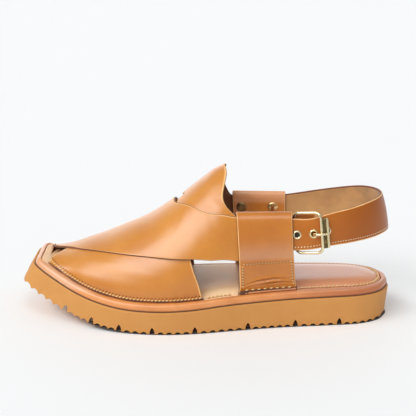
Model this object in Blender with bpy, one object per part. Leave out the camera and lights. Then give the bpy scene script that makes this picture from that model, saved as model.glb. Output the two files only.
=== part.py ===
# Kaptan chappal, left shoe: two crossed leather panels and a tongue on a leather footbed,
# two side loops, a heel strap with a pin buckle and a ripple-soled rubber wedge.
# Sizes are millimetres in the shoe's own frame: toe to -X, little-toe side to -Y, floor at z = 0.
# Meshes are written in metres, and one empty carries all of them to the bottom centre.
import bmesh
import bpy
import math
import numpy as np
from functools import lru_cache
from mathutils import Matrix, Vector

MM = 0.001
GAP = 0.3               # between pieces that touch

# Sole
TOE_SPRING = 27.0       # height of the tread at the front edge
SPRING_START = -38.0    # where the tread leaves the floor
SPRING_REACH = 112.0
SPRING_POWER = 2.5
RIM_HEIGHT = 6.0        # leather rim above the rubber
RECESS = 3.0            # depth of the footbed's seat below the rim
SLOT_INSET = 7.2        # from the rubber's edge to the wall that the panels go in against
LEATHER = 2.0           # panel leather
PANEL_INSET = SLOT_INSET + GAP + LEATHER
LOOP_FOOT = 2.0 * LEATHER
OUTLINE_STEPS = 3       # samples per outline point
NORMAL_INSET = 5.0
MIDDLE_LINE = (-112.0, 108.0)

# Tread
RIPPLE_PITCH = 7.0
RIPPLE_DEPTH = 1.4
RIPPLE_WIDTH = 4.6
NOTCH_DEPTH = 4.4
NOTCH_WIDTH = 4.0
NOTCH_TOP = 1.8

# Loops
LOOP_RISE = 92.0        # top of the folded loop
LOOP_FRONT = 21.5
LOOP_REAR = 65.4

# Heel strap and buckle
STRAP_THICK = 2.4
STRAP_CROWN = 1.0       # how far the strap's middle stands out past its edges
BUCKLE_X = 82.4
BUCKLE_TURN = math.radians(-3.5)    # about the strap's outward normal
WIRE = 1.15             # radius
FRAME_FRONT = -13.3     # along the strap, from the buckle's middle
FRAME_REAR = 8.8
FRAME_TALL = 34.0
FRAME_CORNER = 4.6
FRAME_LIFT = 0.9
HINGE_DEPTH = 5.2       # of the hinge bar below the strap's middle
BAR_LIFT = 3.2          # of the far bar above it
PLATE = (8.1, 12.3, 23.2, 2.35, 3.85)   # front, rear, tall, bottom, top
ROLL = 2.3              # radius of the tab's fold around the hinge bar
BORE = 1.35
EYELET_RUNS = {"eyelet_front": -10.6, "eyelet_middle": 2.3, "eyelet_rear": 12.5}
EYELET_OUTER = 3.8
EYELET_BARREL = 2.75
EYELET_HOLE = 2.15
EYELET_LIP = 0.36
EYELET_BACK = 0.3       # the lip on the strap's inner face
PRONG = 1.2             # radius
EYE = 2.35              # outer radius of the prong's eye
RIVET_HEAD = 4.3
RIVET_SHANK = 1.7
RIVET_DOME = 1.3

# Rubber outline, seen from above, from the toe round the outer side, the heel and the inner side
OUTLINE = {
    "x": (-151.5, -151.5, -149.5, -142, -130, -110, -90, -65, -35, -8, 25, 60, 99, 122, 138, 146,
          147.3, 146, 138, 122, 99, 60, 25, -8, -35, -65, -95, -125, -144, -150, -151.5),
    "y": (12, -4, -11.5, -18.8, -27, -39.8, -49.5, -57.3, -60.5, -58.2, -51, -44.5, -40, -36.2, -27, -13,
          -4, 5, 18.5, 28, 32, 34.5, 37, 41.5, 46.5, 50, 48.5, 44, 40.8, 35, 27),
}
# Rubber thickness between tread and leather rim
RUBBER = {
    "x":     (-152, -128, -95, -40, -15, 10, 45, 80, 148),
    "thick": (17, 18.2, 18.5, 18.4, 19.1, 20.9, 22.3, 23.3, 24.1),
}
# Cross-sections of the last, inside the leather: ridge height over the tread, ridge place,
# and how far each side swells past an ellipse
LAST = {
    "x":       (-143, -128, -112, -95, -78, -60, -45, -27, -12, 2, 14, 45, 72),
    "ridge":   (24.5, 35.5, 47, 56, 64, 71.3, 77.5, 88, 100.8, 111.8, 119.5, 119.5, 119.5),
    "middle":  (12, 11.2, 10, 9, 7.5, 6, 4.5, 2.5, 1, 0.5, 0, 0, 0),
    "outer":   (0, 0.5, 1, 1.5, 2, 2, 2, 2, 2, 2, 2, 4.5, 7),
    "inner":   (0, 0.5, 1, 1.5, 2, 2.5, 3, 4, 6, 9, 12, 12, 12),
}
# Panel edges on the last: x along the foot and girth, -1 at the outer side's seat, 0 on the ridge,
# 1 at the inner side's seat. "fore" is the edge toward the toe, "aft" the edge toward the heel.
OUTER_PANEL = {     # outer forefoot to inner ankle, the lowest layer
    "fore_x":     (-141, -139, -135.5, -130.5, -121, -106, -88, -70, -47, -26, 0, 20, 44),
    "fore_girth": (-1, -0.42, -0.2, -0.05, 0.1, 0.26, 0.39, 0.48, 0.56, 0.64, 0.74, 0.772, 0.78),
    "aft_x":      (-3.8, -7, -11.3, -15, -18.5, -19, -16.5, -12, -5, 4, 12, 19.5, 44),
    "aft_girth":  (-1, -0.89, -0.78, -0.64, -0.48, -0.3, -0.12, 0.04, 0.2, 0.36, 0.46, 0.54, 0.57),
}
INNER_PANEL = {     # inner forefoot to outer ankle, the top layer
    "fore_x":     (-141.4, -141.3, -139.2, -131, -117, -99, -73.5, -47.5, -26, 1.5, 16.4, 24, 44),
    "fore_girth": (1, 0.55, 0.2, -0.04, -0.27, -0.375, -0.476, -0.561, -0.65, -0.753, -0.782, -0.788, -0.792),
    "aft_x":      (-12, -14, -18, -21.5, -23.8, -23.9, -22.3, -17.8, -12.8, -3, 8.2, 20, 44),
    "aft_girth":  (1, 0.86, 0.64, 0.4, 0.16, -0.035, -0.125, -0.208, -0.29, -0.42, -0.5, -0.535, -0.55),
}
TONGUE = {          # outer ankle to inner ankle, over the outer panel and under the inner one
    "fore_x":     (28, 14, 0, -12, -20, -23.5, -16.8, -19, -12, 0, 13, 28),
    "fore_girth": (-0.63, -0.57, -0.47, -0.33, -0.19, -0.085, 0, 0.1, 0.26, 0.45, 0.56, 0.61),
    "aft_x":      (28, 21.8, 15.6, 12.9, 12.1, 14.9, 13.9, 14.9, 12.6, 13.6, 18.6, 28),
    "aft_girth":  (-0.55, -0.528, -0.478, -0.435, -0.36, -0.17, 0, 0.17, 0.37, 0.43, 0.535, 0.55),
}
# Heel strap between the loops: its lower and upper edge
STRAP = {
    "low_x":  (80, 97, 113, 128.5, 139.6, 144.9, 142, 131.4, 115, 95, 78),
    "low_y":  (-40.2, -39.8, -37.3, -29.5, -18, -4, 11, 24.5, 32.8, 35, 34.4),
    "low_z":  (64, 67.1, 69.1, 70.3, 71, 70.4, 69.9, 68.9, 67.3, 65.3, 63.8),
    "top_x":  (80, 97, 112, 125.1, 134.3, 138.9, 136.2, 126.6, 112, 94, 78),
    "top_y":  (-36.9, -36.7, -33.6, -26.5, -16, -3, 10.5, 22.5, 30.2, 32.8, 32.4),
    "top_z":  (88.5, 93.4, 96.4, 99.2, 100.2, 100.4, 100.5, 99.3, 96.3, 93.3, 91.0),
}


def smooth(table, column, x):
    # Monotone cubic through one column of a table.
    xs, ys = np.array(table["x"], float), np.array(table[column], float)
    x = np.clip(x, xs[0], xs[-1])
    step = np.diff(xs)
    rise = np.diff(ys) / step
    left, right = rise[:-1], rise[1:]
    inner = np.where(left * right > 0, 2 * left * right / np.where(left + right == 0, 1, left + right), 0)
    slope = np.concatenate(([rise[0]], inner, [rise[-1]]))
    i = np.clip(np.searchsorted(xs, x, side="right") - 1, 0, len(step) - 1)
    t = (x - xs[i]) / step[i]
    return (ys[i] * (1 + 2 * t) * (1 - t) ** 2 + slope[i] * step[i] * t * (1 - t) ** 2
            + ys[i + 1] * t * t * (3 - 2 * t) + slope[i + 1] * step[i] * t * t * (t - 1))


def spline(points, count, closed=False):
    # Catmull-Rom curve: count samples per interval, both ends included when it is open.
    p = np.array(points, float)
    n = len(p)
    spans = n if closed else n - 1
    full = p if closed else np.vstack((2 * p[0] - p[1], p, 2 * p[-1] - p[-2]))
    out = []
    for i in range(spans):
        a, b, c, d = (full[(i + k - 1) % n] for k in range(4)) if closed else full[i:i + 4]
        for t in np.arange(count) / count:
            out.append(0.5 * (2 * b + (c - a) * t + (2 * a - 5 * b + 4 * c - d) * t * t
                              + (3 * b - a - 3 * c + d) * t ** 3))
    if not closed:
        out.append(p[-1])
    return np.array(out)


def tread_rise(x):
    return TOE_SPRING * (np.maximum(0, SPRING_START - x) / SPRING_REACH) ** SPRING_POWER


def tread_slope(x):
    reach = np.maximum(0, SPRING_START - x) / SPRING_REACH
    return -TOE_SPRING * SPRING_POWER / SPRING_REACH * reach ** (SPRING_POWER - 1)


def sole_point(x, y, height):
    # A point at a height square to the tread, which curls up toward the toe.
    x, y, height = np.broadcast_arrays(np.asarray(x, float), y, height)
    slope = tread_slope(x)
    length = np.sqrt(1 + slope ** 2)
    return np.stack((x - height * slope / length, y, tread_rise(x) + height / length), -1)


@lru_cache(maxsize=None)
def edge_curve(steps):
    # The rubber's outline, its inward normals, and the way from each point to the foot's middle line.
    fine = spline(list(zip(OUTLINE["x"], OUTLINE["y"])), steps, closed=True)
    along = np.roll(fine, -1, 0) - np.roll(fine, 1, 0)
    along /= np.linalg.norm(along, axis=1)[:, None]
    normal = np.stack((-along[:, 1], along[:, 0]), 1)
    heel = fine[:, 0].argmax()
    x = np.clip(fine[:, 0], *MIDDLE_LINE)
    outer = np.interp(x, fine[:heel, 0], fine[:heel, 1])
    inner = np.interp(x, fine[:heel:-1, 0], fine[:heel:-1, 1])
    inward = np.stack((x, (outer + inner) / 2), 1) - (fine + NORMAL_INSET * normal)
    return fine, normal, inward / np.linalg.norm(inward, axis=1)[:, None]


def outline(inset, steps=OUTLINE_STEPS):
    # The rubber's outline moved in: square to the edge at first, then toward the middle line.
    fine, normal, inward = edge_curve(steps)
    inset = np.asarray(inset)[..., None]
    return fine + np.minimum(inset, NORMAL_INSET) * normal + np.maximum(0, inset - NORMAL_INSET) * inward


@lru_cache(maxsize=None)
def side_curve(inset, side):
    # One side of the inset outline, from toe to heel, as x and y.
    ring = outline(inset, 12)
    heel = ring[:, 0].argmax()
    half = ring[:heel + 1] if side < 0 else np.vstack((ring[heel:], ring[:1]))[::-1]
    return np.maximum.accumulate(half[:, 0]) + np.arange(len(half)) * 1e-7, half[:, 1]


def side_y(x, inset, side):
    return np.interp(x, *side_curve(inset, side))


def last_surface(x, girth):
    # The last's skin. Sides are quarter ellipses that swell by a sin(2 angle) term.
    x = np.asarray(x, float)
    angle = np.asarray(girth) * math.pi / 2
    foot = smooth(RUBBER, "thick", x) + RECESS + GAP
    middle = smooth(LAST, "middle", x)
    outer = (side_y(x, PANEL_INSET, -1) - middle) * np.sin(-angle) - smooth(LAST, "outer", x) * np.sin(-2 * angle)
    inner = (side_y(x, PANEL_INSET, 1) - middle) * np.sin(angle) + smooth(LAST, "inner", x) * np.sin(2 * angle)
    y = middle + np.where(angle < 0, outer, inner)
    return sole_point(x, y, foot + (smooth(LAST, "ridge", x) - foot) * np.cos(angle))


def last_point(x, girth, offset):
    # A point off the last's skin, along the skin's own normal.
    x, girth, offset = np.broadcast_arrays(np.asarray(x, float), girth, offset)
    dx, dg = 0.5, 0.01
    along = last_surface(x + dx, girth) - last_surface(x - dx, girth)
    around = last_surface(x, girth + dg) - last_surface(x, girth - dg)
    normal = np.cross(along, around)
    normal /= np.linalg.norm(normal, axis=-1)[..., None]
    return last_surface(x, girth) + normal * offset[..., None]


def girth_at(x, z, side):
    # The girth at which the last's side has a given height, behind the instep.
    foot = smooth(RUBBER, "thick", x) + RECESS + GAP
    rise = (z - foot) / (smooth(LAST, "ridge", x) - foot)
    return side * np.arccos(np.clip(rise, 0, 1)) * 2 / math.pi


def blend(x, start, end):
    t = np.clip((x - start) / (end - start), 0, 1)
    return t * t * (3 - 2 * t)


def material(name, colour, roughness, metallic=0.0):
    made = bpy.data.materials.new(name)
    made.use_nodes = True
    shader = made.node_tree.nodes["Principled BSDF"]
    shader.inputs["Base Color"].default_value = (*colour, 1)
    shader.inputs["Roughness"].default_value = roughness
    shader.inputs["Metallic"].default_value = metallic
    return made


def add(name, points, faces, look=None, turn=None, smooth_angle=35):
    # One closed mesh object from points in millimetres.
    mesh = bpy.data.meshes.new(name)
    mesh.from_pydata([tuple(Vector(p) * MM) for p in points], [], faces)
    work = bmesh.new()
    work.from_mesh(mesh)
    bmesh.ops.recalc_face_normals(work, faces=work.faces)
    if work.calc_volume(signed=True) < 0:
        bmesh.ops.reverse_faces(work, faces=work.faces)
    work.to_mesh(mesh)
    work.free()
    mesh.shade_smooth()
    mesh.set_sharp_from_angle(angle=math.radians(smooth_angle))
    made = bpy.data.objects.new(name, mesh)
    bpy.context.scene.collection.objects.link(made)
    if turn is not None:
        made.matrix_world = turn
    if look is None:
        made.hide_render = True
        made.display_type = "WIRE"
    else:
        mesh.materials.append(look)
    return made


def combine(target, other, operation):
    change = target.modifiers.new(other.name, "BOOLEAN")
    change.operation = operation
    change.solver = "EXACT"
    change.object = other


def rings(layers):
    # Faces between closed rings of equal count, the first and last closed by strips across.
    points = np.concatenate(layers)
    n = len(layers[0])
    faces = []
    for k in range(len(layers) - 1):
        for i in range(n):
            j = (i + 1) % n
            faces.append((k * n + i, k * n + j, (k + 1) * n + j, (k + 1) * n + i))
    for base in (0, (len(layers) - 1) * n):
        for i in range((n - 1) // 2):
            a, b, c, d = base + i, base + i + 1, base + n - 2 - i, base + n - 1 - i
            faces.append((a, b, d))
            if b < c:
                faces.append((b, c, d))
    return points, faces


def slab(front, back):
    # A closed sheet from two grids of points, front and back, of the same shape.
    rows, columns = front.shape[:2]
    points = np.concatenate((front.reshape(-1, 3), back.reshape(-1, 3)))
    half = rows * columns

    def at(i, j, side):
        return side * half + i * columns + j
    faces = []
    for i in range(rows - 1):
        for j in range(columns - 1):
            faces.append((at(i, j, 0), at(i, j + 1, 0), at(i + 1, j + 1, 0), at(i + 1, j, 0)))
            faces.append((at(i, j, 1), at(i + 1, j, 1), at(i + 1, j + 1, 1), at(i, j + 1, 1)))
        for j in (0, columns - 1):
            faces.append((at(i, j, 0), at(i + 1, j, 0), at(i + 1, j, 1), at(i, j, 1)))
    for j in range(columns - 1):
        for i in (0, rows - 1):
            faces.append((at(i, j, 0), at(i, j, 1), at(i, j + 1, 1), at(i, j + 1, 0)))
    return points, faces


def prism(sections):
    # A closed solid through polygons of equal count, with a face on each end.
    count = len(sections[0])
    points = np.concatenate(sections)
    faces = [tuple(range(count)), tuple((len(sections) - 1) * count + i for i in range(count))]
    for k in range(len(sections) - 1):
        for i in range(count):
            j = (i + 1) % count
            faces.append((k * count + i, k * count + j, (k + 1) * count + j, (k + 1) * count + i))
    return points, faces


def turned(profile, sides):
    # A solid turned about Z from (radius, height) points; radius 0 closes it on the axis.
    angles = np.arange(sides) * 2 * math.pi / sides
    closed = profile[0][0] > 0
    points, rows = [], []
    for radius, height in profile:
        rows.append(list(range(len(points), len(points) + (sides if radius else 1))))
        spread = angles if radius else angles[:1]
        points += [(radius * math.cos(a), radius * math.sin(a), height) for a in spread]
    pairs = list(zip(rows, rows[1:] + rows[:1])) if closed else list(zip(rows, rows[1:]))
    faces = []
    for one, two in pairs:
        for i in range(sides):
            j = (i + 1) % sides
            ring = [one[i % len(one)], one[j % len(one)], two[j % len(two)], two[i % len(two)]]
            faces.append(tuple(dict.fromkeys(ring)))
    return points, faces


def rod(path, radius, sides, closed=False):
    # A round rod along points, with flat ends when it is open.
    path = np.array(path, float)
    if closed:
        along = np.roll(path, -1, 0) - np.roll(path, 1, 0)
    else:
        along = np.gradient(path, axis=0)
    along /= np.linalg.norm(along, axis=1)[:, None]
    across = np.array((0, 1.0, 0)) if abs(along[:, 1]).max() < 0.9 else np.array((0, 0, 1.0))
    one = np.cross(along, across)
    one /= np.linalg.norm(one, axis=1)[:, None]
    two = np.cross(along, one)
    angles = np.arange(sides) * 2 * math.pi / sides
    circles = [p + radius * (np.cos(angles)[:, None] * a + np.sin(angles)[:, None] * b)
               for p, a, b in zip(path, one, two)]
    points, faces = prism(circles)
    if closed:
        last = (len(path) - 1) * sides
        faces = faces[2:] + [(last + i, last + (i + 1) % sides, (i + 1) % sides, i) for i in range(sides)]
    return points, faces


def make_outsole(look):
    # Rubber wedge: side walls splay out by 1.5 mm from tread to top.
    thick = smooth(RUBBER, "thick", outline(0)[:, 0])
    heel = blend(outline(0)[:, 0], 120, 147)
    lower = 0.4 + 1.1 * blend(outline(0)[:, 0], -149, -125) + heel
    layers = []
    for inset, share in ((lower + 0.7, 0), (lower, 0.05), (0.1, 0.95), (0.5, 1)):
        ring = outline(np.broadcast_to(inset, thick.shape))
        layers.append(sole_point(ring[:, 0], ring[:, 1], thick * share))
    sole = add("outsole", *rings(layers), look, smooth_angle=25)
    # Transverse ripples, with a deep notch in place of every fourth to sixth.
    notches = (-114, -93, -71, -44, -9, 32, 69, 104)
    start, count = -148.5, 43
    places = np.array([start + i * RIPPLE_PITCH for i in range(count)])
    cuts, faces = [], []
    for place in places:
        near = min(notches, key=lambda notch: abs(notch - place))
        deep = abs(near - place) < RIPPLE_PITCH / 2
        depth, mouth = (NOTCH_DEPTH, NOTCH_WIDTH) if deep else (RIPPLE_DEPTH, RIPPLE_WIDTH)
        top = NOTCH_TOP if deep else RIPPLE_WIDTH * 0.35
        below = 1.0
        flare = mouth / 2 + below * (mouth - top) / 2 / depth
        shape = ((-flare, -below), (-top / 2, depth), (top / 2, depth), (flare, -below))
        polygons = []
        for y in (-90, 90):
            polygons.append(np.array([sole_point(place + dx, y, h) for dx, h in shape]))
        points, part = prism(polygons)
        faces += [tuple(i + len(cuts) for i in face) for face in part]
        cuts += list(points)
    combine(sole, add("tread_cutter", cuts, faces), "DIFFERENCE")
    return sole


def make_midsole(look):
    # Leather rim with a rolled edge, and the footbed's seat sunk inside it.
    profile = ((1.9, GAP), (1.3, 1.4), (1.3, 4.4), (2.8, RIM_HEIGHT),
               (SLOT_INSET, RIM_HEIGHT), (SLOT_INSET, RECESS))
    layers = []
    for inset, height in profile:
        ring = outline(inset)
        layers.append(sole_point(ring[:, 0], ring[:, 1], smooth(RUBBER, "thick", ring[:, 0]) + height))
    return add("midsole", *rings(layers), look)


def slot_cutter(name, side, x_from, x_to, width):
    # A band along one side, from just outside the slot's wall to just inside what stands in it.
    x = np.linspace(x_from, x_to, max(3, round((x_to - x_from) / 6)))
    thick = smooth(RUBBER, "thick", x)
    grids = [np.stack([sole_point(x, side_y(x, inset, side), thick + height)
                       for inset in (SLOT_INSET - 1, SLOT_INSET + width + 3 * GAP)])
             for height in (1.0, 14.0)]
    return add(name, *slab(*grids))


def make_insole(look):
    # Padded footbed: its edge rolls down to the rim's seam, and the pad thins toward the toe.
    edge = SLOT_INSET + GAP
    profile = ((edge, RECESS + GAP, RECESS + GAP), (edge, 4.8, 4.5), (edge + 1.4, 6.9, 5.4),
               (edge + 5.5, 8.4, 5.9), (edge + 13, 9.0, 6.2))
    layers = []
    for inset, full, thin in profile:
        ring = outline(inset)
        height = thin + (full - thin) * blend(ring[:, 0], -125, -70)
        layers.append(sole_point(ring[:, 0], ring[:, 1], smooth(RUBBER, "thick", ring[:, 0]) + height))
    pad = add("insole", *rings(layers), look)
    slots = (("slot_outer_panel", -1, -141.5, -3.2, LEATHER), ("slot_inner_panel", 1, -141.8, -11.2, LEATHER),
             ("slot_outer_loop", -1, 23.9, 70.9, LOOP_FOOT), ("slot_inner_loop", 1, 22.7, 70.1, LOOP_FOOT))
    for name, side, x_from, x_to, width in slots:
        combine(pad, slot_cutter(name, side, x_from, x_to, width), "DIFFERENCE")
    return pad


def seat_rows(x, side, inset):
    # The two lowest rows of a sheet that stands in the sole's slot: its foot and the rim's height.
    thick = smooth(RUBBER, "thick", x)
    y = side_y(x, inset, side)
    return np.stack([sole_point(x, y, thick + height) for height in (RECESS + GAP, RIM_HEIGHT + GAP)])


def panel(name, table, along, across, lift, look=None):
    # A leather sheet on the last between two edges of a table; lift gives its inner face.
    fore = spline(list(zip(table["fore_x"], table["fore_girth"])), along)
    aft = spline(list(zip(table["aft_x"], table["aft_girth"])), along)
    t = np.linspace(0, 1, across + 1)[None, :, None] ** 1.15
    place = fore[:, None] * (1 - t) + aft[:, None] * t
    x, girth = place[..., 0], np.clip(place[..., 1], -1, 1)
    inside = lift(x, girth)
    sheets = [last_point(x, girth, inside + LEATHER), last_point(x, girth, inside)]
    if abs(girth[0, 0]) == 1:
        for k, inset in enumerate((PANEL_INSET - LEATHER, PANEL_INSET)):
            sheets[k] = np.concatenate((seat_rows(x[0], girth[0, 0], inset), sheets[k][1:]))
    return add(name, *slab(*sheets), look)


def make_upper(look):
    # Three crossing sheets joined where they overlap: outer panel, tongue, inner panel on top.
    upper = panel("upper", OUTER_PANEL, 2, 11, lambda x, g: np.zeros_like(x), look)
    tongue = panel("tongue_shape", TONGUE, 2, 5, lambda x, g: np.full_like(x, 1.35))

    def over(x, g):
        return (1.3 + 1.45 * blend(x, -52, -27)) * blend(1 - g, 0.0, 0.16)
    inner = panel("inner_panel_shape", INNER_PANEL, 2, 11, over)
    combine(upper, tongue, "UNION")
    combine(upper, inner, "UNION")
    return upper


def loop_sections(side, shape, front, rear, stations, overrun=0.0):
    # The loop's (offset, height) polygon carried along the last, flaring toward its foot.
    offset = np.array([p[0] for p in shape])
    height = np.array([p[1] for p in shape])
    low = np.clip((LOOP_RISE - height) / (LOOP_RISE - 28), 0, 1)
    first, final = front + 3.0 * low, rear + 4.6 * low ** 1.9
    sections = []
    for t in np.linspace(0, 1, stations):
        x = first + (final - first) * t + (2 * t - 1) * overrun
        foot = smooth(RUBBER, "thick", x) + RECESS + GAP
        z = np.where(height <= 0, foot, height)
        points = last_point(x, girth_at(x, z, side), offset)
        seated = height < 30
        points[seated] = np.stack((x, side_y(x, PANEL_INSET, side) + side * offset, z), -1)[seated]
        sections.append(points)
    return sections


def make_loop(name, side, skin, lining, floor, top, front, rear, look):
    # A band folded over at the top: outer layer, pocket for the straps, inner layer. The layers
    # meet below the pocket and go down into the sole as one foot.
    rise = (floor + 8, 66, 74, 82)
    outside = ([(LEATHER, 0), (LEATHER, 28.9), (4.0, 35), (0.55 * skin + 1.5, floor - 7), (skin - 0.8, floor + 1)]
               + [(skin, z) for z in rise]
               + [(skin, top - 6), (skin - 0.8, top - 2.2), (skin - 2.8, top - 0.3), (lining + 2.8, top - 0.3),
                  (lining + 0.8, top - 2.2), (lining, top - 6)]
               + [(lining, z) for z in rise[::-1]]
               + [(lining + 0.9, floor), (-LEATHER, floor - 8), (-LEATHER, 28.9), (-LEATHER, 0)])
    front_wall, back_wall = skin - LEATHER, lining + LEATHER
    pocket = ([(front_wall, z) for z in rise]
              + [(front_wall, top - 3.8), (front_wall - 0.6, top - 2.3), (front_wall - 1.4, top - 1.7),
                 (back_wall + 1.4, top - 1.7), (back_wall + 0.6, top - 2.3), (back_wall, top - 3.8)]
              + [(back_wall, z) for z in rise[::-1]]
              + [(back_wall + 1.2, floor + 1.4), ((skin + lining) / 2, floor), (front_wall - 1.2, floor + 1.4)])
    loop = add(name, *prism(loop_sections(side, outside, front, rear, 5)), look)
    cutter = add(name + "_pocket", *prism(loop_sections(side, pocket, front, rear, 5, overrun=2.0)))
    combine(loop, cutter, "DIFFERENCE")
    return loop


@lru_cache(maxsize=None)
def strap_edges():
    # Lower and upper edge of the heel strap, from inside the outer loop to inside the inner one.
    def in_loop(x, side, offset, low, top):
        z = np.array((low, top))
        return last_point(np.full(2, x), girth_at(x, z, side), offset)
    rows = [in_loop(x, -1, 3.4, low, top) for x, low, top in ((47, 62, 86.6), (57, 62.3, 86.8), (67, 62.8, 87.1))]
    for lx, ly, lz, tx, ty, tz in zip(*(STRAP[k] for k in ("low_x", "low_y", "low_z", "top_x", "top_y", "top_z"))):
        rows.append(np.array(((lx, ly, lz), (tx, ty, tz))))
    rows += [in_loop(x, 1, 1.7, low, top) for x, low, top in ((64, 61.6, 88.8), (55.5, 61.2, 87.6), (47, 61, 87))]
    rows = np.array(rows)
    return spline(rows[:, 0], 3), spline(rows[:, 1], 3)


def strap_point(run, across, out):
    # A point by its run along the strap, its height from the strap's middle and its distance out.
    low, top = strap_edges()
    middle = (low + top) / 2
    travel = np.concatenate(([0], np.cumsum(np.linalg.norm(np.diff(middle, axis=0), axis=1))))
    nearest = np.abs(middle[:24, 0] - BUCKLE_X).argmin()
    run = np.asarray(run, float) + travel[nearest]

    def at(curve, r):
        return np.stack([np.interp(r, travel, curve[:, k]) for k in range(3)], -1)
    up = at(top, run) - at(low, run)
    up /= np.linalg.norm(up, axis=-1)[..., None]
    ahead = at(middle, run + 2) - at(middle, run - 2)
    away = np.cross(ahead, up)
    away /= np.linalg.norm(away, axis=-1)[..., None]
    across = np.asarray(across, float)
    half_width = np.linalg.norm(at(top, run) - at(low, run), axis=-1) / 2
    out = np.asarray(out, float) + STRAP_CROWN * (1 - (across / half_width) ** 2)
    return at(middle, run) + up * across[..., None] + away * out[..., None]


def strap_frame(run):
    # Local frame on the strap: X along it, Y up across it, Z outward.
    here = strap_point(run, 0, 0)
    along = strap_point(run + 3, 0, 0) - strap_point(run - 3, 0, 0)
    up = strap_point(run, 5, 0) - strap_point(run, -5, 0)
    x = Vector(along).normalized()
    z = x.cross(Vector(up)).normalized()
    y = z.cross(x)
    turn = Matrix((x, y, z)).transposed().to_4x4()
    turn.translation = Vector(here) * MM
    return turn


def make_heel_strap(look, holes):
    low, top = strap_edges()
    share = np.linspace(0, 1, 4)[None, :, None]
    body = low[:, None] * (1 - share) + top[:, None] * share
    along = np.gradient(body, axis=0)
    up = np.repeat((top - low)[:, None], 4, axis=1)
    out = np.cross(along, up)
    out /= np.linalg.norm(out, axis=-1)[..., None]
    body = body + out * STRAP_CROWN * 4 * share * (1 - share)
    strap = add("heel_strap", *slab(body + out * STRAP_THICK / 2, body - out * STRAP_THICK / 2), look)
    for hole in holes:
        combine(strap, hole, "DIFFERENCE")
    return strap


def cylinder(name, radius, low, high, sides, turn, look=None):
    points, faces = turned(((0, low), (radius, low), (radius, high), (0, high)), sides)
    return add(name, points, faces, look, turn)


def make_eyelet(name, run, look):
    # Rolled ring through the strap: a lip on each face and a barrel between.
    face = STRAP_THICK / 2 + 0.2
    profile = ((EYELET_HOLE, -face - EYELET_BACK), (EYELET_OUTER - 0.7, -face - EYELET_BACK),
               (EYELET_OUTER - 0.7, -face), (EYELET_BARREL, -face), (EYELET_BARREL, face),
               (EYELET_OUTER, face), (EYELET_OUTER - 0.7, face + EYELET_LIP),
               (EYELET_HOLE + 0.3, face + EYELET_LIP))
    return add(name, *turned(profile, 12), look, strap_frame(run))


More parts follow.
